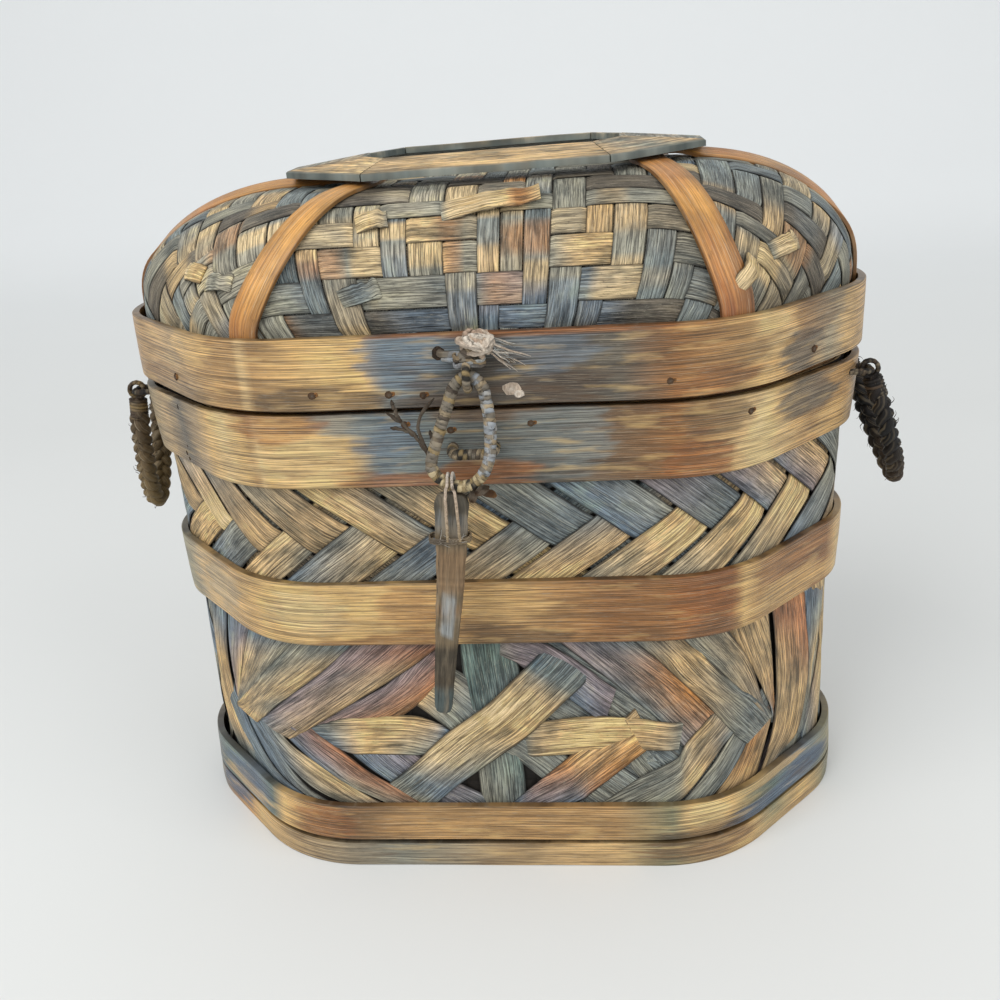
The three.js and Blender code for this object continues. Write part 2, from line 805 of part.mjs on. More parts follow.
function handle(sideX, leanDegrees) {
  const spread = eyeSpreadOf(sideX);
  const lean = THREE.MathUtils.degToRad(leanDegrees);
  const down = new THREE.Vector3(sideX * Math.sin(lean), 0, -Math.cos(lean));
  const pivot = new THREE.Vector3(sideX * handleAxisX(spread), 0, handleEyeZ);
  const hang = (y, drop) => pivot.clone().addScaledVector(down, drop).setY(y);
  const half = (sideY) => [
    hang(sideY * spread, handleRingRadius),
    ...handleBowShares.map(([across, along]) => hang(sideY * spread * across, handleLength * along)),
  ];
  const route = curveThrough([...half(1), hang(0, handleLength), ...half(-1).reverse()]);
  const turns = route.getLength() / handleTurnLength;
  const swell = (t) => Math.min(1, Math.min(t, 1 - t) / handleNeckLengthShare);
  const neck = (t) => THREE.MathUtils.lerp(handleNeckShare, 1, swell(t));
  const braid = tube(route, 36, (t, angle) => neck(t) * (handleBraidRadius
    + handleBraidRelief * Math.cos(3 * angle + 2 * Math.PI * turns * t)), 9);
  const rings = [1, -1].map((sideY) => {
    const ring = new THREE.TorusGeometry(handleRingRadius, handleRingCordRadius, 6, 14);
    ring.rotateX(Math.PI / 2);
    ring.translate(pivot.x, sideY * spread, pivot.z);
    return ring;
  });
  return join([braid, ...rings]);
}

// Latch on the lid: a lumpy knot, the cord from its hole, and the eye that the loop hangs in
const latchPivot = new THREE.Vector3(
  latchPivotX,
  -(frontReach + latchPivotStandout),
  latchPivotZ,
);

function latchKnot() {
  const knot = new THREE.IcosahedronGeometry(knotRadius, 2);
  const place = knot.attributes.position;
  for (let i = 0; i < place.count; i += 1) {
    const p = new THREE.Vector3().fromBufferAttribute(place, i);
    const lump = Math.sin((5 * p.x) / knotRadius) * Math.cos((4 * p.z) / knotRadius);
    const swell = 1 + knotLumpShare * lump;
    p.multiply(new THREE.Vector3(swell, knotDepthShare * swell, knotHeightShare * swell));
    place.setXYZ(i, p.x, p.y, p.z);
  }
  const knotY = -(frontReach + knotRadius * knotHeightShare);
  const knotFoot = knotZ - knotRadius * knotFootShare;
  knot.translate(knotX, knotY, knotZ);
  const eye = new THREE.TorusGeometry(latchEyeRadius, latchEyeCordRadius, 7, 16);
  eye.rotateY(Math.PI / 2);
  eye.translate(latchPivot.x, latchPivot.y, latchPivot.z);
  const neck = tube(curveThrough([
    latchPivot.clone().setZ(latchPivotZ + latchEyeRadius),
    new THREE.Vector3(latchPivotX, latchPivot.y, knotFoot),
    new THREE.Vector3(knotX, knotY, knotZ),
  ]), 6, neckCordRadius);
  const lead = tube(curveThrough([
    new THREE.Vector3(latchCordHoleX, -(frontReach - hoopThickness), latchCordHoleZ),
    new THREE.Vector3(latchCordHoleX, -(frontReach + latchCordRadius), latchCordHoleZ),
    new THREE.Vector3(latchPivotX, knotY, knotFoot),
  ]), 8, latchCordRadius);
  return join([knot, neck, eye, lead]);
}

const loopBottomY = -(frontReach + latchLoopStandout);

// A point of the loop, by shares of its reach to one side and of its drop
function loopPoint(reach, acrossShare, dropShare) {
  return new THREE.Vector3(
    latchPivotX + reach * acrossShare,
    THREE.MathUtils.lerp(latchPivot.y, loopBottomY, dropShare),
    latchPivotZ - latchLoopDrop * dropShare,
  );
}

// Down the left side, along the foot, where the peg hangs, and up the right side
const loopLeftShares = [[0, 0], [0.33, 0.09], [0.52, 0.26], [0.8, 0.55], [1, 0.84]];
const pegAcrossShare = 0.55;
const loopRightShares = [[0, 1], [0.8, 0.82], [1, 0.5], [0.85, 0.22], [0.66, 0.09]];
const loopNeckShare = 0.7;
const loopNeckLengthShare = 0.075;
const pegPivot = loopPoint(-latchLoopLeft, pegAcrossShare, 1);

function latchLoop() {
  const route = curveThrough([
    ...loopLeftShares.map(([across, drop]) => loopPoint(-latchLoopLeft, across, drop)),
    pegPivot,
    ...loopRightShares.map(([across, drop]) => loopPoint(latchLoopRight, across, drop)),
  ], true);
  const swell = (t) => Math.min(1, Math.min(t, 1 - t) / loopNeckLengthShare);
  const neck = (t) => THREE.MathUtils.lerp(loopNeckShare, 1, swell(t));
  return tube(route, 34, (t) => latchCordRadius * neck(t), 7);
}

// Rounded outline: a ring of points whose sides are flatter than an ellipse's
function roundedRing(halfWidth, halfDepth, z, sides, squareness) {
  const flatter = (value) => Math.sign(value) * Math.abs(value) ** squareness;
  const points = [];
  const along = [];
  for (let i = 0; i < sides; i += 1) {
    const angle = (2 * Math.PI * i) / sides;
    const across = halfWidth * flatter(Math.cos(angle));
    points.push(new THREE.Vector3(across, halfDepth * flatter(Math.sin(angle)), z));
    along.push(i / sides);
  }
  return { points, along };
}

// Peg: a flat tapered bamboo pin that hangs below the loop on a twin strand. Each row of shares
// is a level along it from the tip up, its width and its thickness.
const pegLevelShares = [
  [1, 0.55, 0.6], [0.985, 0.95, 1], [0.75, 1, 1], [0.4, 1.02, 1], [0.12, 1, 1],
  [0.02, 0.92, 0.9], [0, 0.7, 0.6],
];
const pegSquareness = 0.6;
const pegTieSquareness = 0.7;

function peg() {
  const rings = pegLevelShares.map(([level, widthShare, thicknessShare]) => roundedRing(
    (THREE.MathUtils.lerp(pegTopWidth, pegTipWidth, level) * widthShare) / 2,
    (THREE.MathUtils.lerp(pegThickness, pegTipThickness, level) * thicknessShare) / 2,
    -level * pegLength,
    10,
    pegSquareness,
  ));
  const body = skin(rings);
  body.rotateY(THREE.MathUtils.degToRad(pegLeanDegrees));
  body.translate(pegPivot.x, pegPivot.y, pegPivot.z - pegHang);
  return body;
}

// The strand passes over the loop's lowest cord and ends in a turn round the peg
function pegTie() {
  const around = pegThickness / 2 + seatGap + pegTieRadius;
  const over = latchCordRadius + pegTieClearance + pegTieRadius;
  const shoulder = over * pegTieShoulderShare;
  const bulge = around * pegTieBulgeShare;
  const turn = -(pegHang + pegTieDrop);
  const bow = tube(curveThrough([
    new THREE.Vector3(0, -around, turn),
    new THREE.Vector3(0, -around, -pegHang),
    new THREE.Vector3(0, -bulge, shoulder),
    new THREE.Vector3(0, 0, over),
    new THREE.Vector3(0, bulge, shoulder),
    new THREE.Vector3(0, around, -pegHang),
    new THREE.Vector3(0, around, turn),
  ]), 20, pegTieRadius, 6);
  const turnX = -pegTieDrop * Math.sin(THREE.MathUtils.degToRad(pegLeanDegrees));
  const reach = pegTopWidth / 2 + seatGap + pegTieRadius;
  const turnPoints = roundedRing(reach, around, turn, 12, pegTieSquareness).points;
  const ring = tube(curveThrough(turnPoints, true), 24, pegTieRadius, 6);
  ring.translate(turnX, 0, 0);
  return join([bow, ring]).translate(pegPivot.x, pegPivot.y, pegPivot.z);
}

function baseSlat(side) {
  const y = side * slatSpread;
  const outerEdge = slatSpread + slatWidth / 2;
  const reach = wallXAt(outerEdge, weaveInnerInset(floorUnderside)) - slatEndGap;
  const slat = new THREE.BoxGeometry(2 * reach, slatWidth, slatThickness);
  slat.translate(0, y, floorUnderside - seatGap - slatThickness / 2);
  return slat;
}

const box = new THREE.Group();

function add(name, geometry, material) {
  const mesh = new THREE.Mesh(geometry, material);
  mesh.name = name;
  box.add(mesh);
}

const stapleHoles = latchStapleLegs().map((leg) => legHole(leg, 'y', stapleCaneRadius));
for (const sideX of [-1, 1]) {
  for (const sideY of [-1, 1]) {
    for (const leg of handleStapleLegs(sideX, sideY)) {
      stapleHoles.push(legHole(leg, 'x', handleEyeCaneRadius));
    }
  }
}
const cordHole = bar('y', latchCordHoleRadius, 4 * hoopThickness, new THREE.Vector3(
  latchCordHoleX,
  -(frontReach - hoopThickness),
  latchCordHoleZ,
));

add('foot_ring', hoop(0, footRingTop, hoopInsetAt), finish(colours.foot));
add('foot_band', hoop(footBandBottom, footBandTop, hoopInsetAt), finish(colours.foot));
add('base_slat_front', baseSlat(-1), finish(colours.cane));
add('base_slat_back', baseSlat(1), finish(colours.cane));
add('body_weave', cut(bodyWeave(), hingeHoles), finish(colours.wall, 0.7));
add('body_lining', cut(bodyLining(), hingeHoles), finish(colours.lining));
add('waist_hoop', hoop(waistBottom, waistTop, hoopInsetAt), finish(colours.hoop, 0.55));
add(
  'body_rim_hoop',
  cut(
    hoop(bodyRimBottom, bodyRimTop, hoopInsetAt, hoopThickness, { topDip: bodyRimEndDip }),
    [...hingeHoles, ...stapleHoles],
  ),
  finish(colours.hoop, 0.55),
);
add('body_collar', cut(bodyCollar(), hingeHoles), finish(colours.hoop));
add('hinge_ring_left', hingeRing(-1), finish(colours.cane));
add('hinge_ring_right', hingeRing(1), finish(colours.cane));
add('latch_staple', latchStaple(), finish(colours.cord));
for (const [sideX, sideName] of [[-1, 'left'], [1, 'right']]) {
  for (const [sideY, place] of [[-1, 'front'], [1, 'back']]) {
    add(`${sideName}_handle_staple_${place}`, handleStaple(sideX, sideY), finish(colours.handle));
  }
}
add('left_handle', handle(-1, leftHandleLeanDegrees), finish(colours.handle));
add('right_handle', handle(1, rightHandleLeanDegrees), finish(colours.handle));
add('lid_weave', cut(lidWeave(), hingeHoles), finish(colours.lid, 0.7));
add('lid_lining', cut(lidLining(), hingeHoles), finish(colours.lining));
add(
  'lid_rim_hoop',
  cut(
    hoop(lidRimBottom, lidRimTop, () => 0, hoopThickness, { bottomRise: lidRimEndRise }),
    [...hingeHoles, cordHole],
  ),
  finish(colours.hoop, 0.55),
);
add(
  'lid_inner_hoop',
  cut(
    hoop(
      lidInnerHoopBottom,
      lidInnerHoopBottom + lidInnerHoopHeight,
      () => lidFaceInset + lidWeaveThickness + liningThickness + 2 * seatGap,
      innerHoopThickness,
      { along: lidInnerStations },
    ),
    hingeHoles,
  ),
  finish(colours.hoop),
);
add('lid_rib_long', longRib(), finish(colours.rib, 0.45));
add('lid_rib_left', crossRib(leftRibRimX, leftRibCrownX, ribWidth), finish(colours.rib, 0.45));
add(
  'lid_rib_right',
  crossRib(rightRibRimX, rightRibCrownX, wideRibWidth),
  finish(colours.rib, 0.45),
);
add('lid_top_frame', topFrame(), finish(colours.frame));
add('latch_knot', latchKnot(), finish(colours.knot, 0.9));
add('latch_loop', latchLoop(), finish(colours.cord));
add('latch_peg', peg(), finish(colours.peg));
add('latch_peg_tie', pegTie(), finish(colours.cord));

// The footprint's middle goes to the origin
const extent = new THREE.Box3().setFromObject(box, true);
const middle = extent.getCenter(new THREE.Vector3());
box.position.set(-middle.x, -middle.y, -extent.min.z);

export default box;
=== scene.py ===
import math
import random

import bmesh
import bpy
import numpy as np
from mathutils import Matrix, Vector, noise


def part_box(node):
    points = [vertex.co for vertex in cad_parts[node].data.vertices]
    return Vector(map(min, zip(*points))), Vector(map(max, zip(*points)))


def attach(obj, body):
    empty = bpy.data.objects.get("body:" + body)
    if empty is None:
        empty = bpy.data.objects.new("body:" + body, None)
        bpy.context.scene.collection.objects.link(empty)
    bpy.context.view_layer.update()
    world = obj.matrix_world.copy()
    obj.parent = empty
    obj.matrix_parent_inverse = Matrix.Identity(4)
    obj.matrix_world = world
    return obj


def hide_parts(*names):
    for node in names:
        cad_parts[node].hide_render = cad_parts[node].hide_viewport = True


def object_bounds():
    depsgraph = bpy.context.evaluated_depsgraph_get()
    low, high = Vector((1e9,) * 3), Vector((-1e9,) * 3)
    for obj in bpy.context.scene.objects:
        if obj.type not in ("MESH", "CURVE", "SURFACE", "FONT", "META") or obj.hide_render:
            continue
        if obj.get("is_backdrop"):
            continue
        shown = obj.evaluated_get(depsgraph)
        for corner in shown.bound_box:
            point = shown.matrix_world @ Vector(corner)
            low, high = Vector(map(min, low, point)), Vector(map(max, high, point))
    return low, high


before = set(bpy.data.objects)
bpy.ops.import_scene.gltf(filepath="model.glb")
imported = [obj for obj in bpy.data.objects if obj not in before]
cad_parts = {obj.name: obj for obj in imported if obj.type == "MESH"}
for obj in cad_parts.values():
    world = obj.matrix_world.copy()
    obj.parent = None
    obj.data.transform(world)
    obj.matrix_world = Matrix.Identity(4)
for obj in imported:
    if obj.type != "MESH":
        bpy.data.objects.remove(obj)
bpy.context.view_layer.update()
mm = 0.001
# all sizes below are in millimetres from the middle of the foot ring, which is here in the frame
shift = np.array([*np.array(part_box("foot_ring")).mean(axis=0)[:2], 0.0]) / mm

# camera, floor and light first: everything after them belongs to the box
camera = {
    "place": (35.561, -382.220, 275.243),
    "right": (0.99561, 0.07256, -0.05918),
    "down": (-0.02759, -0.37665, -0.92594),
    "forward": (-0.08948, 0.92351, -0.37299),
    "lens": 37.33,
}


def makeCamera():
    data = bpy.data.cameras.new("photo_camera")
    data.lens = camera["lens"]
    data.sensor_width = 36
    data.clip_start = 0.01
    data.clip_end = 50
    eye = bpy.data.objects.new("photo_camera", data)
    bpy.context.scene.collection.objects.link(eye)
    right, down, forward = (Vector(camera[k]) for k in ("right", "down", "forward"))
    turn = Matrix((right, -down, -forward)).transposed()
    eye.matrix_world = Matrix.Translation(Vector(shift + camera["place"]) * mm) @ turn.to_4x4()
    bpy.context.scene.camera = eye


def tone(text):
    # "#rrggbb" to the linear colour that a node takes
    parts = [int(text[i:i + 2], 16) / 255 for i in (1, 3, 5)]
    return tuple(c / 12.92 if c <= 0.04045 else ((c + 0.055) / 1.055) ** 2.4 for c in parts) + (1,)


# shader maths
class Socket:
    # one output of a node, with the arithmetic that the finishes use
    def __init__(self, finish, socket):
        self.finish = finish
        self.socket = socket

    def __add__(self, other):
        return self.finish.maths("ADD", self, other)

    def __sub__(self, other):
        return self.finish.maths("SUBTRACT", self, other)

    def __rsub__(self, other):
        return self.finish.maths("SUBTRACT", other, self)

    def __mul__(self, other):
        return self.finish.maths("MULTIPLY", self, other)

    def __truediv__(self, other):
        return self.finish.maths("DIVIDE", self, other)

    __radd__, __rmul__ = __add__, __mul__

    def clamped(self):
        return self.finish.maths("ADD", self, 0.0, clamp=True)


class Finish:
    def __init__(self, name):
        self.material = bpy.data.materials.new(name)
        self.material.use_nodes = True
        self.tree = self.material.node_tree
        self.tree.nodes.clear()

    def node(self, kind, settings=None, inputs=None, output=0):
        # an input is a socket, a number or tuple, or a colour as "#rrggbb"
        node = self.tree.nodes.new(kind)
        for key, value in (settings or {}).items():
            setattr(node, key, value)
        for key, value in (inputs or {}).items():
            if isinstance(value, Socket):
                self.tree.links.new(value.socket, node.inputs[key])
            else:
                node.inputs[key].default_value = tone(value) if isinstance(value, str) else value
        return Socket(self, node.outputs[output]) if node.outputs else None

    def maths(self, operation, *values, clamp=False):
        settings = {"operation": operation, "use_clamp": clamp}
        return self.node("ShaderNodeMath", settings, dict(enumerate(values)))

    def mix(self, factor, first, second, blend="MIX"):
        settings = {"data_type": "RGBA", "blend_type": blend}
        return self.node("ShaderNodeMix", settings, {0: factor, 6: first, 7: second}, 2)

    def between(self, value, low, high):
        # 0 at low and 1 at high, held outside
        inputs = {0: value, 1: low, 2: high, 3: 0.0, 4: 1.0}
        return self.node("ShaderNodeMapRange", {"clamp": True}, inputs)

    def toward(self, colour, other, value, low, high, amount=None):
        # colour as long as value is on low's side, turning into other at high
        share = self.between(value, low, high)
        return self.mix(share * amount if amount else share, colour, other)

    def attribute(self, name, output=1):
        # output 0 is a colour, 1 a vector and 2 a value
        return self.node("ShaderNodeAttribute", {"attribute_name": name}, output=output)

    def split(self, vector):
        sockets = self.node("ShaderNodeSeparateXYZ", {}, {0: vector}).socket.node.outputs
        return [Socket(self, socket) for socket in sockets]

    def reads(self):
        # what Skin lays at every point: along, across, number, tint and edge
        return *self.split(self.attribute("grain")), self.attribute("tint", 0), \
            self.attribute("edge", 2)

    def grain(self, place, scale=1.0, detail=3.0, roughness=0.55):
        if isinstance(place, tuple):
            place = self.node("ShaderNodeCombineXYZ", {}, dict(enumerate(place)))
        inputs = {"Vector": place, "Scale": scale, "Detail": detail, "Roughness": roughness}
        return self.node("ShaderNodeTexNoise", {"noise_dimensions": "3D"}, inputs)

    def surface(self, colour, roughness, specular, height=None, depth=0.0, strength=1.0):
        inputs = {"Base Color": colour, "Roughness": roughness, "Specular IOR Level": specular}
        if height:
            inputs["Normal"] = self.node("ShaderNodeBump", {}, {
                "Strength": strength, "Distance": depth, "Height": height})
        shader = self.node("ShaderNodeBsdfPrincipled", {}, inputs)
        self.node("ShaderNodeOutputMaterial", {}, {"Surface": shader})
        return self.material


studio = {
    "floorColour": "#dfe1e0", "backdropColour": "#f6f9fa",
    "worldStrength": 0.68,
    "key": {"place": (-0.75, -0.9, 1.25), "size": 1.1, "power": 14},
    "fill": {"place": (1.1, -0.7, 0.9), "size": 1.0, "power": 6},
}


def makeStudio():
    finish = Finish("studio_paper")
    place = finish.node("ShaderNodeTexCoord", output=3)
    depth = finish.split(place)[1]
    pale = finish.toward(studio["floorColour"], studio["backdropColour"], depth, 0.5, 1.5)
    mottle = finish.mix(finish.grain(place, 6.0, 4.0) * 0.05, pale, "#c9cdcf")
    paper = finish.surface(mottle, 0.9, 0.15)
    # a sheet that lies on the floor and curves up behind
    reach, back, turn, height = 3.0, 1.2, 0.8, 3.5
    profile = [(-reach, 0.0), (back, 0.0)]
    profile += [(back + turn * math.sin(a), turn - turn * math.cos(a))
                for a in np.linspace(0.1, math.pi / 2, 12)]
    profile.append((back + turn, height))
    points = [(x, y, z) for y, z in profile for x in (-reach, reach)]
    faces = [(2 * i, 2 * i + 1, 2 * i + 3, 2 * i + 2) for i in range(len(profile) - 1)]
    mesh = bpy.data.meshes.new("studio_sheet")
    mesh.from_pydata(points, [], faces)
    mesh.materials.append(paper)
    mesh.shade_smooth()
    sheet = bpy.data.objects.new("studio_sheet", mesh)
    bpy.context.scene.collection.objects.link(sheet)
    sheet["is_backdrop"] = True

    world = bpy.data.worlds.new("studio_world")
    world.use_nodes = True
    background = world.node_tree.nodes["Background"]
    background.inputs["Color"].default_value = (1.0, 1.0, 1.0, 1)
    background.inputs["Strength"].default_value = studio["worldStrength"]
    bpy.context.scene.world = world
    for name in ("key", "fill"):
        lamp = studio[name]
        data = bpy.data.lights.new("studio_" + name, "AREA")
        data.energy = lamp["power"]
        data.size = lamp["size"]
        light = bpy.data.objects.new("studio_" + name, data)
        light.location = lamp["place"]
        aim = Vector((0, 0, 0.1)) - Vector(lamp["place"])
        light.rotation_euler = aim.to_track_quat("-Z", "Y").to_euler()
        bpy.context.scene.collection.objects.link(light)
    bpy.context.scene.view_settings.view_transform = "Standard"


makeCamera()
makeStudio()
print("camera and studio ready")


def lerp(a, b, t):
    return a + (b - a) * t


def smooth(t):
    t = np.clip(t, 0, 1)
    return t * t * (3 - 2 * t)


def distances(points):
    # how far every point lies along the line through them
    return np.concatenate([[0], np.cumsum(np.linalg.norm(np.diff(points, axis=0), axis=-1))])


def evenly(rows, count):
    # the rows moved to count even distances along their line
    run = distances(rows)
    even = np.linspace(0, run[-1], count)
    return np.stack([np.interp(even, run, column) for column in rows.T], axis=1)


def rough(x, y, z=0.0):
    # smooth noise, about -1 to 1
    return noise.noise(Vector((x, y, z)))


# the box's plan and wall, in millimetres
box = {
    "endReach": 133.6, "frontReach": 72.6, "endRadius": 42.1, "cornerRadius": 57.2,
    "slantNormal": math.radians(43),
    "wall": ((0, 1.7), (12, 1.7), (26.5, 2.6), (94.8, 3.8), (119.1, 3.0), (154.7, 2.3),
             (180.6, 0.4), (182, 0), (206, 0)),
}


def planTable(step=0.25):
    # the distance of every row from the front's centre towards +X, and rows of x, y, nx, ny
    corner, end, n = box["cornerRadius"], box["endRadius"], box["slantNormal"]
    endX, cornerY = box["endReach"] - end, box["frontReach"] - corner
    cornerX = endX + (end - corner - cornerY * math.sin(n)) / math.cos(n)

    def arc(x, y, radius, first, last):
        a = np.linspace(first, last, int(radius * (first - last) / step))
        return np.stack([x + radius * np.cos(a), y - radius * np.sin(a), np.cos(a), -np.sin(a)], 1)

    flat = [(x, -box["frontReach"], 0.0, -1.0) for x in np.arange(0, cornerX, step)]
    quarter = np.vstack([flat, arc(cornerX, -cornerY, corner, math.pi / 2, n),
                         arc(endX, 0, end, n, 0)])
    half = np.vstack([quarter, (quarter * (1, -1, 1, -1))[-2::-1]])
    whole = np.vstack([half, (half * (-1, 1, -1, 1))[-2:0:-1], half[:1]])
    return distances(whole[:, :2]), whole


planS, planRows = planTable()
planLength = planS[-1]


def planAt(s):
    s = np.mod(s, planLength)
    return [np.interp(s, planS, planRows[:, k]) for k in range(4)]


def hoopInset(z):
    heights, insets = zip(*box["wall"])
    return np.interp(z, heights, insets)


def onWall(s, z, inset):
    # a point at distance s along the wall and height z, so far inside the hoops' outer faces
    s, z, inset = np.broadcast_arrays(*(np.asarray(v, float) for v in (s, z, inset)))
    x, y, nx, ny = planAt(s)
    inward = inset + hoopInset(z)
    return np.stack([x - inward * nx, y - inward * ny, z], axis=-1)


# mesh making
class Skin:
    # collects grids of points with what the finishes read: grain (along, across, strip number),
    # tint, and edge (0 in the middle of a strip and 1 at its edge)
    def __init__(self, name):
        self.name = name
        self.points, self.grain, self.tint, self.edge, self.faces = [], [], [], [], []
        self.count = 0

    def grid(self, points, grain, tint, edge, ring=False):
        # rows of points, each row closed to a loop; ring: the last row joins the first
        rows, columns = points.shape[:2]
        base = self.count
        for kept, given in ((self.points, points), (self.grain, grain), (self.tint, tint)):
            kept.append(np.broadcast_to(given, (rows, columns, 3)).reshape(-1, 3))
        self.edge.append(np.broadcast_to(edge, (rows, columns)).ravel())
        self.count += rows * columns
        at = lambda i, j: base + (i % rows) * columns + j % columns
        for i in range(rows if ring else rows - 1):
            for j in range(columns):
                self.faces.append((at(i, j), at(i, j + 1), at(i + 1, j + 1), at(i + 1, j)))
        if not ring:
            self.faces.append(tuple(at(0, j) for j in range(columns))[::-1])
            self.faces.append(tuple(at(rows - 1, j) for j in range(columns)))

    def make(self, material, body, nodes=(), slot=None, sharp=40):
        mesh = bpy.data.meshes.new(self.name)
        points = (np.concatenate(self.points) + shift) * mm
        mesh.from_pydata(points.tolist(), [], self.faces)
        outward = bmesh.new()
        outward.from_mesh(mesh)
        bmesh.ops.recalc_face_normals(outward, faces=outward.faces)
        outward.to_mesh(mesh)
        outward.free()
        tint = np.concatenate(self.tint)
        for name, kind, field, values in (
                ("grain", "FLOAT_VECTOR", "vector", np.concatenate(self.grain)),
                ("tint", "FLOAT_COLOR", "color", np.column_stack([tint, np.ones(len(tint))])),
                ("edge", "FLOAT", "value", np.concatenate(self.edge))):
            layer = mesh.attributes.new(name, kind, "POINT")
            layer.data.foreach_set(field, values.astype(np.float32).ravel())
        mesh.shade_smooth()
        mesh.set_sharp_from_angle(angle=math.radians(sharp))
        mesh.materials.append(material)
        piece = bpy.data.objects.new(self.name, mesh)
        bpy.context.scene.collection.objects.link(piece)
        if nodes:
            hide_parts(*nodes)
        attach(piece, body)
        return piece


def through(values, count):
    # Catmull-Rom rows through the given rows, evenly spread by index
    values = np.asarray(values, float)
    padded = np.vstack([2 * values[0] - values[1], values, 2 * values[-1] - values[-2]])
    t = np.linspace(0, len(values) - 1, count)
    i = np.minimum(t.astype(int), len(values) - 2)
    f = (t - i)[:, None]
    p0, p1, p2, p3 = (padded[i + k] for k in range(4))
    return 0.5 * (2 * p1 + (p2 - p0) * f + (2 * p0 - 5 * p1 + 4 * p2 - p3) * f ** 2
                  + (3 * p1 - p0 - 3 * p2 + p3) * f ** 3)


# colours of the burnt and dyed bamboo
shades = {
    "s": "#6a7375", "g": "#8b8a7d", "b": "#6c7d8c", "y": "#d4b07a", "t": "#b0946c",
    "o": "#b47c46", "r": "#a36f4c", "p": "#8c8083", "u": "#63756f", "d": "#2e2b26",
    "G": "#dfb777", "B": "#946638", "O": "#9d6230", "S": "#7c8584", "K": "#625b50",
    "Y": "#e6c48c", "T": "#b8905c", "N": "#7a5a3a", "E": "#a3957a", "D": "#4f3b2a",
    "C": "#4d6077", "V": "#8d8a6a", "A": "#b7ad97",
    # ribs
    "1": "#dba154", "2": "#c28444", "3": "#a8683f", "4": "#8d7a5a", "5": "#b08a60",
    # fibres, and the wraps of the cords
    "k": "#dcc8b2", "l": "#bfa590", "m": "#efe4d4", "n": "#cfd2cd", "q": "#9a9fa3",
    "i": "#b09c7c", "a": "#a08f74", "c": "#7d7568", "e": "#c2b08a", "f": "#5d5246",
    "h": "#94805a",
    # peg, and the strands of the handles
    "H": "#5a5448", "I": "#7a6a52", "J": "#8d7355", "P": "#a9b0b2", "Q": "#4d4436",
    "R": "#4f5957", "v": "#241d19", "w": "#4a3b2c", "x": "#151211", "z": "#6f5c3f",
    "j": "#85704a",
}
shades = {key: np.array(tone(text)[:3]) for key, text in shades.items()}
chance = random.Random(7)


def tintRows(letters, count):
    # count rows of colour along a strip, through the shades and a little uneven
    rows = np.array([shades[c] for c in letters])
    rows = through(rows, count) if len(rows) > 1 else np.repeat(rows, count, axis=0)
    jitter = np.array([rough(k * 0.35, chance.uniform(0, 50)) for k in range(count)])
    return np.clip(rows * (1 + 0.25 * jitter[:, None]), 0.005, 1)


def grainOf(points, along, across, number):
    return np.stack([np.broadcast_to(v, points.shape[:2]) for v in (along, across, number)], -1)


def addStrip(skin, left, right, inset, tintLeft, tintRight, thickness, crown=0.1, place=onWall):
    # left, right: n rows of (s, z); inset: n; tints: n rows of colour. A closed section of
    # seven points: five over the top from edge to edge, two underneath
    rows = []
    for k, share in enumerate((0.0, 0.06, 0.5, 0.94, 1.0, 0.98, 0.02)):
        at = lerp(left, right, share)
        drop = 0.28 if share in (0.0, 1.0) else -crown * (1 - (2 * share - 1) ** 2)
        rows.append(place(at[:, 0], at[:, 1], inset + (drop if k < 5 else thickness)))
    points = np.stack(rows, axis=1)
    width = np.linalg.norm(points[:, 4] - points[:, 0], axis=1)
    shares = np.array([0.0, 0.06, 0.5, 0.94, 1.0, 1.0, 0.0])
    grain = grainOf(points, distances((points[:, 0] + points[:, 4]) / 2)[:, None],
                    (shares - 0.5) * width[:, None], chance.uniform(0, 100))
    tint = lerp(tintLeft[:, None, :], tintRight[:, None, :], shares[:, None])
    # edge is 1 at both edges and underneath, which the plait finish darkens as painted shade
    skin.grid(points, grain, tint, np.array([1.0, 0, 0, 0, 1, 1, 1]))


